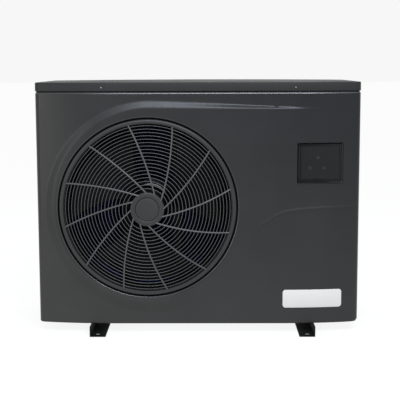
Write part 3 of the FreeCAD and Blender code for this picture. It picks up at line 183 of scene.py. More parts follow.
COOL = (0.97, 1.0, 1.05)
WARM = (1.01, 1.0, 0.965)
BADGE_TINT = (1, 0.975, 0.94)
MATS = {
    # the casing plastic carries painted shade, darker towards its top and right
    "casing_plastic": material("casing_plastic", grey(0.0225, WARM), grey(0.026, WARM), 0.36,
                               bump=0.03, grain=1100, shine=0.23, painted_shade=0.68),
    # a glossier copy of the casing plastic for the panel's top chamfer and the fan recess lip; its colour is
    # darker than the casing's as painted shade, so these edges don't read lighter than the panel
    "edge_gloss": material("edge_gloss", grey(0.015, COOL), grey(0.018, COOL), 0.24,
                           rough_spread=0.04, grain=1100, shine=0.55),
    "lid_plastic": material("lid_plastic", grey(0.012), grey(0.014), 0.46, bump=0.03, grain=1100,
                            shine=0.17),
    "grille_plastic": material("grille_plastic", grey(0.018), grey(0.022), 0.4, grain=1300, shine=0.23),
    # painted light: the grille plastic again in a lighter colour, for the rings and spokes
    "ring_plastic": material("ring_plastic", grey(0.05), grey(0.058), 0.4, grain=1300, shine=0.22),
    "dark_metal": material("dark_metal", grey(0.003), grey(0.006), 0.5, bump=0.03, grain=700,
                           wear=grey(0.02), shine=0.12),
    "galvanised": material("galvanised", grey(0.42), grey(0.6), 0.38, metallic=1.0, patch=60, bump=0.01),
    "blue_fins": material("blue_fins", (0.008, 0.014, 0.055), (0.011, 0.019, 0.08), 0.5, bump=0.01,
                          shine=0.12),
    "copper": material("copper", (0.6, 0.27, 0.14), (0.78, 0.4, 0.24), 0.32, metallic=1.0,
                       wear=(0.2, 0.09, 0.05)),
    "brass": material("brass", (0.62, 0.45, 0.18), (0.75, 0.58, 0.28), 0.3, metallic=1.0),
    "black_plastic": material("black_plastic", grey(0.010), grey(0.014), 0.4, shine=0.3),
    "shadow_black": material("shadow_black", grey(0.0012), grey(0.002), 0.7, shine=0.05),
    # painted shade: the fan's black plastic darkened to near-black for the shade inside the casing
    "fan_plastic": material("fan_plastic", grey(0.0012), grey(0.002), 0.6, shine=0.05),
    "steel": material("steel", grey(0.4), grey(0.52), 0.3, metallic=1.0, bump=0.008,
                      stretch=(1, 1, 12)),
    "rubber": material("rubber", grey(0.012), grey(0.02), 0.75, bump=0.04, shine=0.2),
    "titanium": material("titanium", (0.36, 0.33, 0.3), (0.46, 0.43, 0.4), 0.35, metallic=1.0),
    "pvc": material("pvc", grey(0.022), grey(0.028), 0.3, bump=0.006, coat=0.1, shine=0.4),
    "board_green": material("board_green", (0.008, 0.06, 0.025), (0.012, 0.09, 0.04), 0.45, speckle=0.5),
    "smoked": material("smoked", grey(0.006), grey(0.008), 0.4, bump=0.003, shine=0.16),
    "key_mark": material("key_mark", grey(0.0135), grey(0.016), 0.4, bump=0.003, shine=0.2),
    "badge": material("badge", grey(0.44, BADGE_TINT), grey(0.465, BADGE_TINT), 0.32, bump=0.004,
                      shine=0.3),
}


def paint(obj, mat):
    obj.data.materials.clear()
    obj.data.materials.append(MATS[mat])
    return obj


# ------------------------------------------------------------------ mesh helpers
def linked(name, verts, faces):
    """A bare object in the scene; verts in mm."""
    data = bpy.data.meshes.new(name)
    data.from_pydata([tuple(v) for v in np.asarray(verts, dtype=float) * MM], [],
                     [tuple(map(int, f)) for f in faces])
    data.update()
    obj = bpy.data.objects.new(name, data)
    bpy.context.scene.collection.objects.link(obj)
    return obj


def mesh(name, verts, faces, mat, smooth=True, body="casing", node_names=(), slot=None, sharp=35.0):
    """A piece of the visual model; verts in mm in the shared frame."""
    obj = linked(name, verts, faces)
    data = obj.data
    paint(obj, mat)
    if smooth:
        data.polygons.foreach_set("use_smooth", [True] * len(data.polygons))
        data.set_sharp_from_angle(angle=math.radians(sharp))
    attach(obj, body)
    if node_names:
        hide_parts(*node_names)
    return obj


def grid_faces(rows, cols, wrap_rows=False, wrap_cols=False):
    faces = []
    for i in range(rows if wrap_rows else rows - 1):
        for j in range(cols if wrap_cols else cols - 1):
            a, b = i, (i + 1) % rows
            c, e = j, (j + 1) % cols
            faces.append((a * cols + c, a * cols + e, b * cols + e, b * cols + c))
    return faces


def end_caps(rows, cols):
    """Closes the first and the last row of a tube."""
    return [tuple(range(cols)), tuple(reversed(range((rows - 1) * cols, rows * cols)))]


def stacked(loops):
    """Skins equally long loops, then closes the last and the first one."""
    n, last = len(loops[0]), (len(loops) - 1) * len(loops[0])
    faces = grid_faces(len(loops), n, wrap_cols=True)
    faces += [tuple(range(last, last + n)), tuple(reversed(range(n)))]
    return np.array([p for loop in loops for p in loop]), faces


def merge(parts):
    """Joins (verts, faces) pairs."""
    verts, faces, base = [], [], 0
    for v, f in parts:
        verts.append(np.asarray(v, dtype=float))
        faces += [tuple(base + i for i in face) for face in f]
        base += len(v)
    return np.vstack(verts), faces


def lathe(profile, centre, axis="Y", steps=128, closed=True):
    """profile: (along, radius) points; centre: the other two coordinates in order."""
    angles = np.linspace(0, 2 * math.pi, steps, endpoint=False)
    verts = []
    for along, r in profile:
        c, s = r * np.cos(angles), r * np.sin(angles)
        one = np.full(steps, along)
        if axis == "Y":
            verts.append(np.stack([centre[0] + c, one, centre[1] + s], 1))
        elif axis == "Z":
            verts.append(np.stack([centre[0] + c, centre[1] + s, one], 1))
        else:
            verts.append(np.stack([one, centre[0] + c, centre[1] + s], 1))
    return np.vstack(verts), grid_faces(len(profile), steps, wrap_rows=closed, wrap_cols=True)


def box(x0, x1, y0, y1, z0, z1):
    v = [(x, y, z) for x in (x0, x1) for y in (y0, y1) for z in (z0, z1)]
    f = [(0, 1, 3, 2), (4, 6, 7, 5), (0, 4, 5, 1), (2, 3, 7, 6), (0, 2, 6, 4), (1, 5, 7, 3)]
    return np.array(v, dtype=float), f


def bevel(obj, width, segments=2, angle=30):
    mod = obj.modifiers.new("edge", "BEVEL")
    mod.width = width * MM
    mod.segments = segments
    mod.limit_method = "ANGLE"
    mod.angle_limit = math.radians(angle)
    mod.harden_normals = False
    return obj


def swept(path, section, up=(0, 0, 1)):
    """Sweeps a closed 2-D section (side, up) along a path of points."""
    path = np.asarray(path, dtype=float)
    n = len(path)
    tangent = np.gradient(path, axis=0)
    tangent /= np.linalg.norm(tangent, axis=1)[:, None]
    normal = np.array(up, dtype=float)
    rows = []
    for i in range(n):
        normal = normal - tangent[i] * normal.dot(tangent[i])
        normal /= np.linalg.norm(normal)
        side = np.cross(tangent[i], normal)
        rows.append(np.array([path[i] + side * a + normal * b for a, b in section]))
    k = len(section)
    return np.vstack(rows), grid_faces(n, k, wrap_cols=True) + end_caps(n, k)


def circle_section(r, steps=10):
    return [(r * math.cos(a), r * math.sin(a))
            for a in np.linspace(0, 2 * math.pi, steps, endpoint=False)]


def arc_path(points, bend, steps=8):
    """A polyline with its corners rounded."""
    pts = [np.array(p, dtype=float) for p in points]
    out = [pts[0]]
    for i in range(1, len(pts) - 1):
        a = pts[i - 1] - pts[i]
        b = pts[i + 1] - pts[i]
        la, lb = np.linalg.norm(a), np.linalg.norm(b)
        a, b = a / la, b / lb
        half = math.acos(max(-1, min(1, a.dot(b)))) / 2
        back = min(bend / math.tan(half), la * 0.49, lb * 0.49)
        p0, p2 = pts[i] + a * back, pts[i] + b * back
        for u in np.linspace(0, 1, steps):
            out.append((1 - u) ** 2 * p0 + 2 * u * (1 - u) * pts[i] + u * u * p2)
    out.append(pts[-1])
    return out


def smoothstep(a, b, x):
    t = np.clip((x - a) / (b - a), 0, 1)
    return t * t * (3 - 2 * t)


# ------------------------------------------------------------------ casing outline
def outline(return_y=RETURN_Y, step=ROW_STEP):
    """Plan outline, left return to right return round the front: points and outward normals."""
    half = CASE_W / 2
    bend = END_X - FLAT_HALF
    slope = math.atan(2 * SWEEP / bend)
    radius = CORNER / (1 - math.sin(slope))
    right = []
    for x in np.arange(0, END_X, step):
        t = max(0.0, (x - FLAT_HALF) / bend)
        a = math.atan(2 * SWEEP * t / bend)
        right.append((x, BASE_Y + SWEEP * t * t, math.sin(a), -math.cos(a)))
    cx, cy = half - radius, BASE_Y + SWEEP + radius * math.cos(slope)
    for a in np.linspace(slope, math.pi / 2, 12):
        right.append((cx + radius * math.sin(a), cy - radius * math.cos(a), math.sin(a), -math.cos(a)))
    for y in np.arange(cy + 6, return_y, 8):
        right.append((half, y, 1.0, 0.0))
    right.append((half, return_y, 1.0, 0.0))
    right = np.array(right)
    left = right[1:][::-1] * np.array([-1, 1, -1, 1])
    full = np.vstack([left, right])
    return full[:, :2] + np.array([CASE_X, 0.0]), full[:, 2:]


def relief(x, z):
    """Height of the swept raised area over the base surface.
    x is from the casing's middle, z above its lower edge."""
    turn, radius = HEAD_OUT[0], HEAD_OUT[2]
    d_o = radius - np.hypot(x - turn, z - HEAD_OUT[1])
    d_i = np.hypot(x - HEAD_IN[0], z - HEAD_IN[1]) - HEAD_IN[2]
    head = np.where(d_i <= 0, 1.0, np.where(d_o <= 0, 0.0, d_o / np.maximum(d_o + d_i, 1e-6)))
    top_o = np.interp(x, TAIL_X, TAIL_Z)
    top = np.clip((top_o - z) / np.maximum(top_o - STEP_Z, 1.0), 0, 1)
    dx = np.clip(x - turn, 0, 270)
    low_o = 29.7 + 0.55 * (radius - np.sqrt(radius ** 2 - dx ** 2))
    wide = 31.4 + 1.4 * np.maximum(x + 80, 0)
    low = np.clip((z - low_o) / wide, 0, 1)
    right = smooth01(top) * smooth01(low) * (1 - smoothstep(110, 345, x))
    h = np.where(x < turn, smooth01(head), right) * RELIEF
    line = np.interp(x, SWOOSH[:, 0], SWOOSH[:, 1])
    slope = np.gradient(SWOOSH[:, 1], SWOOSH[:, 0])
    flat = 1 / np.sqrt(1 + np.interp(x, SWOOSH[:, 0], slope) ** 2)
    d = (z - line) * flat
    ridge = np.exp(-(d / 3.4) ** 2) * 1.5 * smoothstep(118, 185, x)
    return h + ridge


def smooth01(t):
    """Bevel profile: flat faces with softened upper and lower edges."""
    soft = t * t * (3 - 2 * t)
    return 0.35 * soft + 0.65 * np.clip((t - 0.04) / 0.92, 0, 1)


# ------------------------------------------------------------------ front panel
def edge_rows(z0, z1, step, r):
    """Heights and inward offsets of a wall with rounded upper and lower edges."""
    rows = [(z0 + r * (1 - math.cos(a)), r * (1 - math.sin(a)))
            for a in np.linspace(0, math.pi / 2, 5)[:-1]]
    rows += [(z, 0.0) for z in np.arange(z0 + r, z1 - UPPER_EDGE[0][0] - 0.5, step)]
    return rows + [(z1 - drop, inward) for drop, inward in UPPER_EDGE]


def build_panel():
    """The front sheet with its raised area; its lower right corner is rounded off."""
    pts, nrm = outline()
    rows = edge_rows(PANEL_Z0, PANEL_Z1, ROW_STEP, EDGE_R)
    local_x = pts[:, 0] - CASE_X
    front = (np.abs(local_x) <= END_X + 0.01) & (nrm[:, 1] < -0.5)
    corner = 9.0
    verts = []
    for z, inward in rows:
        height = np.full(len(pts), z)
        x, y = (pts - nrm * inward).T
        y = np.where(front, y - relief(local_x, height - PANEL_Z0), y)
        drop = max(0.0, corner - (z - PANEL_Z0))
        pull = corner - math.sqrt(max(0.0, corner ** 2 - drop * drop))
        x = x - pull * smoothstep(CASE_W / 2 - 40, CASE_W / 2 - 12, local_x)
        verts.append(np.stack([x, y, height], 1))
    obj = mesh("panel_shell", np.vstack(verts), grid_faces(len(rows), len(pts)), "casing_plastic",
               node_names=("front_panel",), sharp=50)
    # the top chamfer rows take the glossier edge copy of the casing plastic, its colour darkened as painted
    # shade
    obj.data.materials.append(MATS["edge_gloss"])
    gloss_from = (len(rows) - len(UPPER_EDGE)) * (len(pts) - 1)
    for poly in obj.data.polygons:
        poly.material_index = int(poly.index >= gloss_from)
    thick = obj.modifiers.new("wall", "SOLIDIFY")
    thick.thickness = WALL * MM
    thick.offset = -1.0
    return obj


def outward(data):
    """Turns every face of a closed mesh outward."""
    work = bmesh.new()
    work.from_mesh(data)
    bmesh.ops.recalc_face_normals(work, faces=work.faces)
    work.to_mesh(data)
    work.free()
    data.update()


def cutter(name, verts, faces):
    obj = linked(name, verts, faces)
    outward(obj.data)
    return obj


def baked(obj):
    """The object's mesh with its modifiers applied."""
    bpy.context.view_layer.update()
    graph = bpy.context.evaluated_depsgraph_get()
    return bpy.data.meshes.new_from_object(obj.evaluated_get(graph))


def apply_cut(obj, tools):
    """Cuts the tools out of the object and removes them."""
    data = baked(obj)
    obj.modifiers.clear()
    obj.data = data
    outward(data)
    for tool in tools:
        mod = obj.modifiers.new("cut", "BOOLEAN")
        mod.operation = "DIFFERENCE"
        mod.solver = "EXACT"
        mod.object = tool
    data = baked(obj)
    obj.modifiers.clear()
    obj.data = data
    data.polygons.foreach_set("use_smooth", [True] * len(data.polygons))
    data.set_sharp_from_angle(angle=math.radians(40))
    for tool in tools:
        bpy.data.objects.remove(tool)


def rounded_rect(x0, x1, z0, z1, r, steps=6):
    corners = ((x1 - r, z1 - r, 0), (x0 + r, z1 - r, 90), (x0 + r, z0 + r, 180), (x1 - r, z0 + r, 270))
    pts = []
    for cx, cz, a0 in corners:
        for a in np.linspace(a0, a0 + 90, steps):
            pts.append((cx + r * math.cos(math.radians(a)), cz + r * math.sin(math.radians(a))))
    return pts


def prism_y(outline_pts, y0, y1):
    n = len(outline_pts)
    verts = [(x, y, z) for y in (y0, y1) for x, z in outline_pts]
    faces = [(i, (i + 1) % n, n + (i + 1) % n, n + i) for i in range(n)]
    faces += [tuple(range(n))[::-1], tuple(range(n, 2 * n))]
    return verts, faces


def surface_y(x):
    """Depth of the front face without its raised area."""
    t = np.clip((np.abs(np.asarray(x, dtype=float) - CASE_X) - FLAT_HALF) / (END_X - FLAT_HALF), 0, 1)
    return BASE_Y + SWEEP * t * t


def face_y(x, z):
    """Depth of the finished front face."""
    local = np.asarray(x, dtype=float) - CASE_X
    return surface_y(x) - relief(local, np.asarray(z, dtype=float) - PANEL_Z0)


panel = build_panel()
disc = [(FAN_X + a, FAN_Z + b) for a, b in circle_section(RECESS_R + 1.5, 180)]
tools = [cutter("cut_fan", *prism_y(disc, -230, -110)),
         cutter("cut_ctrl", *prism_y(rounded_rect(*CTRL, 2.5), -200, -120))]
apply_cut(panel, tools)

recess = [(ORIFICE_Y, OPEN_R), (FLOOR_Y, OPEN_R), (FLOOR_Y, RECESS_R - 0.4), (FRONT_Y + 1.8, RECESS_R),
          (FRONT_Y + 1.1, RECESS_R + 0.3), (FRONT_Y - 0.2, RECESS_R + 2.3), (FRONT_Y - 0.2, RECESS_R + 3.2),
          (FRONT_Y + 2.5, RECESS_R + 3.4), (ORIFICE_Y, RECESS_R + 3.0)]
# the recess lip in the glossier edge copy of the casing plastic, its colour darkened as painted shade
mesh("panel_recess", *lathe(recess, (FAN_X, FAN_Z), steps=192), "edge_gloss", slot="casing_plastic")
# painted shadow: a black liner over the recess's floor and inner wall, where shade falls in the gap round the
# grille rim
gap = [(FLOOR_Y - 0.2, RIM_R - 3.0), (FLOOR_Y - 0.2, RECESS_R - 0.5), (FRONT_Y + 1.5, RECESS_R - 0.1),
       (FRONT_Y + 1.5, RECESS_R - 0.7), (FLOOR_Y - 0.9, RECESS_R - 1.1), (FLOOR_Y - 0.9, RIM_R - 3.0)]
mesh("recess_shadow_liner", *lathe(gap, (FAN_X, FAN_Z), steps=160), "shadow_black", slot="rubber")


# ------------------------------------------------------------------ lid
def closed_outline(over, rear, step=6.0, corner=12.0):
    """The plan outline closed round the back, moved outward by over."""
    pts, nrm = outline(return_y=rear - corner, step=step)
    right = [(CASE_X + CASE_W / 2 - corner * (1 - math.cos(a)), rear - corner * (1 - math.sin(a)),
              math.cos(a), math.sin(a)) for a in np.linspace(0.15, math.pi / 2, 8)]
    back_x = np.arange(CASE_X + CASE_W / 2 - corner - 10, CASE_X - CASE_W / 2 + corner + 5, -20)
    back = [(x, rear, 0.0, 1.0) for x in back_x]
    left = [(2 * CASE_X - x, y, -nx, ny) for x, y, nx, ny in reversed(right)]
    ring = np.vstack([np.hstack([pts, nrm]), np.array(right), np.array(back), np.array(left)])
    return ring[:, :2] + ring[:, 2:] * over, ring[:, 2:]


def build_lid():
    pts, nrm = closed_outline(0.4, BACK_Y)
    shoulder = LID_EDGE + 1.2
    rim = [(LID_Z0 + 8, 3.6), (LID_Z0, 3.6), (LID_Z0, 0.9), (LID_Z0 + 0.9, 0.0), (LID_EDGE - 1.6, 0.0),
           (LID_EDGE - 0.7, 0.25), (LID_EDGE - 0.1, 0.9), (LID_EDGE + 0.2, 2.0), (LID_EDGE + 0.7, 6.2),
           (LID_EDGE + 1.0, 9.2), (shoulder, 12.5)]
    cols = len(pts)
    rows = [np.column_stack([pts - nrm * inward, np.full(cols, z)]) for z, inward in rim]
    centre = np.array([CASE_X, 0.0])
    edge = rows[-1][:, :2] - centre
    for s in (0.97, 0.93, 0.88, 0.82, 0.74, 0.64, 0.52, 0.38, 0.22, 0.06):
        local = edge * np.array([1 - (1 - s) * 0.42, s])
        rise = (1 - s ** 2) ** 0.8 * (1 - 0.6 * (np.abs(local[:, 0]) / 420.0) ** 2)
        rows.append(np.column_stack([centre + local, shoulder + (LID_TOP - shoulder) * rise]))
    faces = grid_faces(len(rows), cols, wrap_cols=True)
    last = (len(rows) - 1) * cols
    faces += [(last + i, last + i + 1, last + cols - 2 - i, last + cols - 1 - i)
              for i in range(cols // 2 - 1)]
    mesh("lid_shell", np.vstack(rows), faces, "lid_plastic", node_names=("lid",),
         slot="casing_plastic", sharp=32)


def build_lip():
    """The hidden upper lip that the lid sits over, painted black as the shade in the seam under the lid."""
    pts, nrm = outline(step=6.0)
    rows = [np.column_stack([pts - nrm * inward, np.full(len(pts), z)])
            for z, inward in ((634, 2.9), (657, 2.9), (657, 5.4), (634, 5.4))]
    mesh("panel_lip", np.vstack(rows), grid_faces(4, len(pts), wrap_rows=True), "shadow_black",
         slot="casing_plastic")


build_lip()
build_lid()

# ------------------------------------------------------------------ grille
RINGS = [OPEN_R - 4.5 - 8.45 * i - 0.032 * i * i for i in range(19)]


def dome_y(r):
    return FRONT_Y - DOME * (1 - (r / OPEN_R) ** 3)


def build_grille():
    """Rings with ribs behind them, a rim, a hub and bowed spokes. Rings and spokes are painted lighter than
    the rim and hub as painted light; the ribs are painted black as shade.
    """
    centre = (FAN_X, FAN_Z)
    parts, backs = [], []
    for r in RINGS:
        f, w = dome_y(r), RING_W
        profile = [(f + 0.8, r - w), (f + 0.2, r - w * 0.6), (f, r), (f + 0.2, r + w * 0.6),
                   (f + 0.8, r + w)]
        parts.append(lathe(profile, centre, steps=160))
        rib = [(f + 0.8, r - w * 0.9), (f + 0.8, r + w * 0.9), (f + RING_DEEP, r + w * 0.6),
               (f + RING_DEEP, r - w * 0.6)]
        backs.append(lathe(rib, centre, steps=120))
    # the ribs behind the rings painted black as painted shade
    mesh("grille_ring_ribs", *merge(backs), "shadow_black", sharp=40, slot="grille_plastic")
    rim = [(FLOOR_Y, OPEN_R + 1.4), (FLOOR_Y, RIM_R), (FRONT_Y + 0.6, RIM_R), (FRONT_Y - 1.0, RIM_R - 0.8),
           (FRONT_Y - 2.2, RIM_R - 3.0), (FRONT_Y - 2.45, RIM_R - 4.2), (FRONT_Y - 2.45, OPEN_R + 3.6),
           (FRONT_Y - 2.0, OPEN_R + 2.2), (FRONT_Y + 0.8, OPEN_R + 1.4)]
    h = dome_y(HUB_R)
    hub = [(h + 8, 0.01), (h + 8, 44.7), (h + 1.0, 44.7), (h - 0.2, 44.1), (h - 0.9, 42.6), (h - 1.0, 33.5),
           (h - 0.6, 31.8), (h + 0.2, 31.2), (h + 5, 31.2), (h + 5, 0.01)]
    w = SPOKE_W
    section = [(-w, -2.2), (-w, -0.1), (-w * 0.72, 1.25), (0, 2.0), (w * 0.72, 1.25), (w, -0.1), (w, -2.2)]
    for k in range(SPOKES):
        out_a = math.radians(13 + 360 / SPOKES * k)
        in_a = out_a - math.radians(41)
        p1 = np.array([42 * math.cos(in_a), 42 * math.sin(in_a)])
        p2 = np.array([226 * math.cos(out_a), 226 * math.sin(out_a)])
        along = (p2 - p1) / np.linalg.norm(p2 - p1)
        side = np.array([along[1], -along[0]])
        path = []
        for u in np.linspace(0, 1, 26):
            q = p1 + (p2 - p1) * u + side * 4 * SPOKE_BOW * u * (1 - u)
            r = float(np.hypot(*q))
            y = dome_y(r) + 0.6 if r < OPEN_R else FRONT_Y + 0.4
            path.append((FAN_X + q[0], y, FAN_Z + q[1]))
        parts.append(swept(path, section, up=(0, -1, 0)))
    # rings and spokes in the lighter copy of the grille plastic, as painted light
    mesh("grille_rings", *merge(parts), "ring_plastic", sharp=40, slot="grille_plastic")
    mesh("grille_rim_and_hub", *merge([lathe(rim, centre, steps=192), lathe(hub, centre, steps=96)]),
         "grille_plastic", node_names=("fan_grille",), sharp=40)
    cap = [(h + 5, 0.01), (h + 5, 30.6), (h - 0.6, 30.6), (h - 1.6, 29.8), (h - 2.3, 27), (h - 2.9, 16),
           (h - 3.0, 0.01)]
    mesh("grille_badge_cap", *lathe(cap, centre, steps=96), "grille_plastic", node_names=("grille_cap",))


def build_orifice():
    """The rounded inlet ring around the fan."""
    quarter = [u * math.pi / 2 for u in np.linspace(0, 1, 8)]
    throat = [(ORIFICE_Y, 224), (ORIFICE_Y, 238), (-156, 238), (-156, 221)]
    throat += [(-156 + 9 * math.sin(a), 215 + 6 * math.cos(a)) for a in quarter]
    throat += [(-115, 215), (-104, 219), (-97.2, 228), (-97.0, 224.5), (-105, 215.5), (-116, 212)]
    for a, u in zip(reversed(quarter), np.linspace(0, 1, 8)):
        throat.append((ORIFICE_Y + 14 * math.sin(a), 212 + 11.76 * (1 - math.sin(a)) + 0.2 * u))
    # the orifice ring is painted near-black too, as the shade inside the casing
    mesh("orifice_bell", *lathe(throat, (FAN_X, FAN_Z), steps=128), "fan_plastic",
         node_names=("orifice_ring",), slot="grille_plastic")


build_grille()
build_orifice()


# ------------------------------------------------------------------ fan
def blade(middle):
    """One twisted blade; q runs from its root to its tip, c from its leading to its trailing edge."""
    rows = []
    for r in np.linspace(BLADE_IN, BLADE_OUT, 18):
        q = (r - BLADE_IN) / (BLADE_OUT - BLADE_IN)
        lead, trail = 0.28 + 0.46 * q ** 0.8, -0.42 - 0.36 * q
        front, back = [], []
        for c in np.linspace(0, 1, 22):
            a = middle + lead + (trail - lead) * c + 0.12 * q
            y = BLADE_Y + (54 - 5.4 * q) * c + 3.5 * math.sin(math.pi * c) + 4 * (1 - q)
            thick = 1.3 * (1 - abs(2 * c - 1) ** 3) + 0.25
            x, z = FAN_X + r * math.cos(a), FAN_Z + r * math.sin(a)
            front.append((x, y - thick, z))
            back.append((x, y + thick, z))
        rows.append(front + back[::-1])
    n = len(rows[0])
    faces = grid_faces(len(rows), n, wrap_cols=True) + end_caps(len(rows), n)
    return np.array([p for row in rows for p in row]), faces


def build_fan():
    hub = [(-146, 6.2), (-146, 38), (-144, 45), (-139, 49.5), (-131, 52), (-84, 52), (-84, 47), (-129, 47),
           (-137, 42), (-139, 30), (-139, 15), (-84, 15), (-84, 6.2)]
    parts = [blade(math.radians(20 + 360 / BLADES * k)) for k in range(BLADES)]
    parts.append(lathe(hub, (FAN_X, FAN_Z), steps=72))
    # the blades in near-black, as painted shade inside the casing
    mesh("fan_rotor", *merge(parts), "fan_plastic", body="fan", node_names=("fan_blades",), sharp=45)


build_fan()


# ------------------------------------------------------------------ evaporator fins and tubes
def wavy_fin(start, along, length, height):
    """One corrugated fin: start is its first corner, along is 'x' or 'y'."""
    x, y, z = start
    line = [(length * i / FIN_FOLDS, FIN_SWAY * (i % 2)) for i in range(FIN_FOLDS + 1)]
    flat = line + [(u, v + FIN_THICK) for u, v in reversed(line)]
    spots = [(x + u, y + v) if along == "x" else (x + v, y + u) for u, v in flat]
    n = len(spots)
    verts = [(a, b, h) for h in (z, z + height) for a, b in spots]
    faces = grid_faces(2, n, wrap_cols=True)
    for i in range(FIN_FOLDS):
        quad = (i, i + 1, n - 2 - i, n - 1 - i)
        faces += [quad, tuple(k + n for k in reversed(quad))]
    return np.array(verts), faces


def build_coil():
    """Fins and tubes: a long leg along the back and a short one along the left side."""
    (x0, x1), (y0, y1), (z0, z1) = COIL_X, COIL_Y, COIL_Z
    depth, height = y1 - y0, z1 - z0
    fins = [wavy_fin((x, y0, z0), "y", depth, height)
            for x in np.arange(x0 + depth + 2.0, x1 - FIN_ROOM, FIN_PITCH)]
    fins += [wavy_fin((x0, y, z0), "x", depth, height)
             for y in np.arange(COIL_LEG, y0 - FIN_ROOM, FIN_PITCH)]
    mesh("coil_fins", *merge(fins), "blue_fins", smooth=False, node_names=("evaporator_fins",))
    tubes = []
    for z in np.arange(z0 + 17, z1 - 10, TUBE_PITCH):
        for off in (8.0, 22.0):
            path = [(x0 + off, COIL_LEG - 1, z), (x0 + off, y1 - off, z), (x1, y1 - off, z)]
            tubes.append(swept(arc_path(path, 12), circle_section(TUBE_R, 8)))
    mesh("coil_tubes", *merge(tubes), "blue_fins", slot="copper")


build_coil()


# ------------------------------------------------------------------ controller pocket
def loop3(x0, x1, z0, z1, r, y, steps=6):
    """A rounded rectangle as a loop of points at depth y."""
    return [(x, y, z) for x, z in rounded_rect(x0, x1, z0, z1, r, steps)]


def pocket_loop(near, far, depth, r, follow=True):
    """near: inset at the left and top sides, far: inset at the right and bottom sides.
    depth is measured from the panel face, or is a plain Y where follow is off."""
    x0, x1, z0, z1 = CTRL
    pts = []
    for x, z in dense(rounded_rect(x0 + near, x1 - far, z0 + far, z1 - near, r)):
        pts.append((x, float(face_y(x, z)) + depth if follow else depth, z))
    return pts


def dense(loop, count=16):
    """Adds points along the long sides of a rounded rectangle."""
    out = []
    for i, a in enumerate(loop):
        b = loop[(i + 1) % len(loop)]
        n = count if math.dist(a, b) > 30 else 1
        out += [(a[0] + (b[0] - a[0]) * u / n, a[1] + (b[1] - a[1]) * u / n) for u in range(n)]
    return out


def build_pocket():
    """The controller's tray: body, an edge groove painted black as shadow, painted shade under its top edge
    and a ledge.
    """
    floor = POCKET_FLOOR
    loops = [
        pocket_loop(0.4, 0.4, -121.0, 2.3, False), pocket_loop(0.3, 0.3, 2.2, 2.3),
        pocket_loop(0.5, 0.7, 0.3, 2.2), pocket_loop(0.9, 1.4, 0.1, 2.0),
        pocket_loop(1.2, 2.2, 0.6, 1.8), pocket_loop(1.5, 8.6, floor - 1.2, 1.2, False),
        pocket_loop(1.7, 9.6, floor, 1.0, False),
    ]
    mesh("pocket_body", *stacked(loops), "smoked", node_names=("controller_body",), sharp=25,
         slot="black_plastic")
    x0, x1, z0, z1 = CTRL
    # painted shadow: black strips along the pocket's left and top edges, where its shadow gap falls
    groove = merge([box(x0 + 1.3, x0 + 4.2, -151.0, floor + 1, z0 + 9, z1 - 1.6),
                    box(x0 + 1.3, x1 - 7.0, -151.0, floor + 1, z1 - 4.6, z1 - 1.6),
                    box(x0 + 1.45, x0 + 2.1, -161.5, floor, z0 + 4, z1 - 1.8)])
    mesh("pocket_shadow_groove", *groove, "shadow_black", smooth=False, slot="black_plastic")
    shade = [(x, y, z) for x in np.linspace(x0 + 2, x1 - 6, 24)
             for y, z in ((float(face_y(x, z1)) + 2.6, z1 - 1.5), (floor, z1 - 1.7), (floor, z1 - 2.1),
                          (float(face_y(x, z1)) + 2.6, z1 - 1.9))]
    mesh("pocket_top_shade", shade, grid_faces(24, 4, wrap_cols=True), "shadow_black",
         slot="black_plastic")
    ledge = merge([box(x0 + 4.2, x0 + 9.9, -150.6, floor, z0 + 9.4, z1 - 4.6),
                   box(x0 + 9.9, x1 - 10.2, -150.6, floor, z1 - 9.2, z1 - 4.6),
                   box(x1 - 10.2, x1 - 5.8, -149.4, floor, z0 + 5.8, z1 - 4.6),
                   box(x0 + 4.2, x1 - 10.2, -149.4, floor, z0 + 5.8, z0 + 9.9)])
    bevel(mesh("pocket_ledge", *ledge, "smoked", smooth=False, slot="black_plastic"), 0.4)


build_pocket()


def build_cover():
    """The flip cover with its finger tab, hinge pins and three plain marks."""
    x0, x1, z0, z1 = COVER
    plate = stacked([loop3(*COVER, 2.0, -148.8), loop3(*COVER, 2.0, -150.7),
                     loop3(x0 + 0.5, x1 - 0.5, z0 + 0.5, z1 - 0.5, 1.6, -151.2)])
    x0, x1, z0, z1 = COVER_TAB
    tab = stacked([loop3(*COVER_TAB, 1.2, -150.5, 4), loop3(*COVER_TAB, 1.2, -152.6, 4),
                   loop3(x0 + 0.6, x1 - 0.6, z0 + 0.5, z1 - 0.5, 0.8, -153.2, 4)])
    pins = [lathe([(a, 0.01), (a, 1.45), (a + 4.0, 1.45), (a + 4.0, 0.01)], HINGE, axis="X", steps=20)
            for a in (255.0, 362.5)]
    dome = [(-150.9, 0.01), (-150.9, 4.4), (-151.3, 4.2), (-151.5, 3.0), (-151.6, 0.01)]
    mesh("cover_marks", *merge([lathe(dome, spot, steps=24) for spot in KEY_MARKS]), "key_mark",
         body="cover", slot="smoked")
    mesh("pocket_cover", *merge([plate, tab] + pins), "smoked", body="cover",
         node_names=("display_cover",), sharp=30)


build_cover()


# ------------------------------------------------------------------ badge: blank plate following the panel
def build_badge():
    x0, x1, z0, z1 = BADGE
    rings = []
    for inset, out in ((0.0, -0.3), (0.0, 0.9), (0.25, 1.25), (0.8, 1.45)):
        loop = rounded_rect(x0 + inset, x1 - inset, z0 + inset, z1 - inset, BADGE_CORNER - inset, 8)
        rings.append([(x, surface_y(x) - out, z) for x, z in dense(loop, 24)])
    rings.append([(x, surface_y(x) - 1.5, (z0 + z1) / 2) for x, _, _ in rings[-1]])
    faces = grid_faces(len(rings), len(rings[0]), wrap_cols=True)
    mesh("badge_blank", np.array([p for ring in rings for p in ring]), faces, "badge",
         node_names=("badge_plate",), sharp=60)


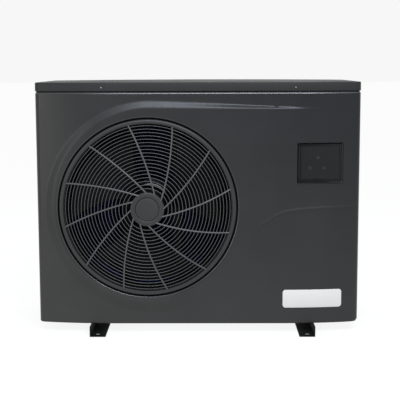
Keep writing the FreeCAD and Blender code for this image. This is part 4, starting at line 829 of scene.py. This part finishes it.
def build_screws():
    """Small pan-head screws in the lid skirt, front and rear."""
    profile = ((-3, 0.01), (-3, 1.2), (-0.4, 1.2), (-0.4, 1.8), (0.4, 1.8), (1.1, 1.4), (1.4, 0.8),
               (0.7, 0.5), (0.7, 0.01))
    parts = []
    for x in SCREW_X:
        x += CASE_X
        for y, way in ((surface_y(x) - 1, -1), (BACK_Y + 1, 1)):
            parts.append(lathe([(y + way * out, r) for out, r in profile], (x, SCREW_Z), steps=24))
    mesh("lid_screw_heads", *merge(parts), "steel", node_names=("lid_screws",))


build_badge()
build_screws()


# ------------------------------------------------------------------ CAD nodes shown as they are
SHOWN = {
    "dark_metal": ("foot_rail_left", "foot_rail_right", "compressor", "accumulator", "motor_bracket"),
    "casing_plastic": ("side_panel_right", "rear_panel", "corner_post", "service_cover", "side_panel_left"),
    "galvanised": ("base_pan", "divider", "coil_end_plates", "control_box", "control_box_cover"),
    "copper": ("coil_return_bends", "gas_lines", "liquid_line_and_drier", "evaporator_lines"),
    "brass": ("expansion_valve", "four_way_valve"),
    "black_plastic": ("cable_glands", "drain_nozzle", "exchanger_shell", "exchanger_mounting",
                      "terminal_cap", "flow_switch", "flow_paddle", "button_mode", "button_up", "button_down"),
    "steel": ("fan_shaft", "fan_nut", "fan_motor", "foot_fasteners", "compressor_studs", "run_capacitor"),
    "rubber": ("compressor_grommets", "union_gaskets"),
    "titanium": ("titanium_coil",),
    "pvc": ("water_inlet_pipe", "water_outlet_pipe", "union_tails", "union_inlet_nut", "union_outlet_nut"),
    "board_green": ("main_board", "terminals_and_contactor"),
    "smoked": ("display_window",),
}
BEVELS = {"foot_rail_left": 0.6, "foot_rail_right": 0.6, "side_panel_right": 0.8, "rear_panel": 0.6,
          "corner_post": 1.0, "service_cover": 1.2, "side_panel_left": 0.6, "cable_glands": 0.5}
for mat, names in SHOWN.items():
    for name in names:
        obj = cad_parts[name]
        paint(obj, mat)
        if name in BEVELS:
            bevel(obj, BEVELS[name])
paint(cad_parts["rear_coil_guard"], "dark_metal")


# ------------------------------------------------------------------ stage, light and camera
def stage_floor():
    data = bpy.data.meshes.new("floor")
    s = FLOOR_HALF
    data.from_pydata([(-s, -s, 0), (s, -s, 0), (s, s, 0), (-s, s, 0)], [], [(0, 1, 2, 3)])
    obj = bpy.data.objects.new("floor", data)
    bpy.context.scene.collection.objects.link(obj)
    m = bpy.data.materials.new("floor_paint")
    m.use_nodes = True
    t = m.node_tree
    shader = t.nodes["Principled BSDF"]
    shader.inputs["Roughness"].default_value = 0.9
    shader.inputs["Specular IOR Level"].default_value = 0.0
    shader.inputs["Emission Color"].default_value = (1, 1, 1, 1)
    shader.inputs["Emission Strength"].default_value = FLOOR_LIGHT
    drift = node(t, "ShaderNodeTexNoise", Scale=0.8, Detail=3.0)
    t.links.new(ramp(t, drift.outputs["Fac"], grey(0.11), grey(0.12)), shader.inputs["Base Color"])
    data.materials.append(m)


def area(name, at, look, size, power, colour):
    lamp = bpy.data.lights.new(name, "AREA")
    lamp.shape = "RECTANGLE"
    lamp.size, lamp.size_y = size
    lamp.energy = power
    lamp.color = colour
    obj = bpy.data.objects.new(name, lamp)
    obj.location = at
    obj.rotation_euler = (Vector(look) - Vector(at)).to_track_quat("-Z", "Y").to_euler()
    bpy.context.scene.collection.objects.link(obj)


stage_floor()
world = bpy.data.worlds.new("studio")
bpy.context.scene.world = world
world.use_nodes = True
world.node_tree.nodes["Background"].inputs["Color"].default_value = (1, 1, 1, 1)
world.node_tree.nodes["Background"].inputs["Strength"].default_value = WORLD_LIGHT
for light in LIGHTS:
    area(*light)

cam_data = bpy.data.cameras.new("camera")
cam_data.sensor_width = SENSOR
cam_data.lens = FOCAL_PX / PHOTO_PX * SENSOR
cam_data.clip_end = 60
cam = bpy.data.objects.new("camera", cam_data)
cam.location = CAMERA_AT
cam.rotation_euler = [math.radians(turn) for turn in CAMERA_TURN]
bpy.context.scene.collection.objects.link(cam)
bpy.context.scene.camera = cam
bpy.context.scene.view_settings.view_transform = "Standard"
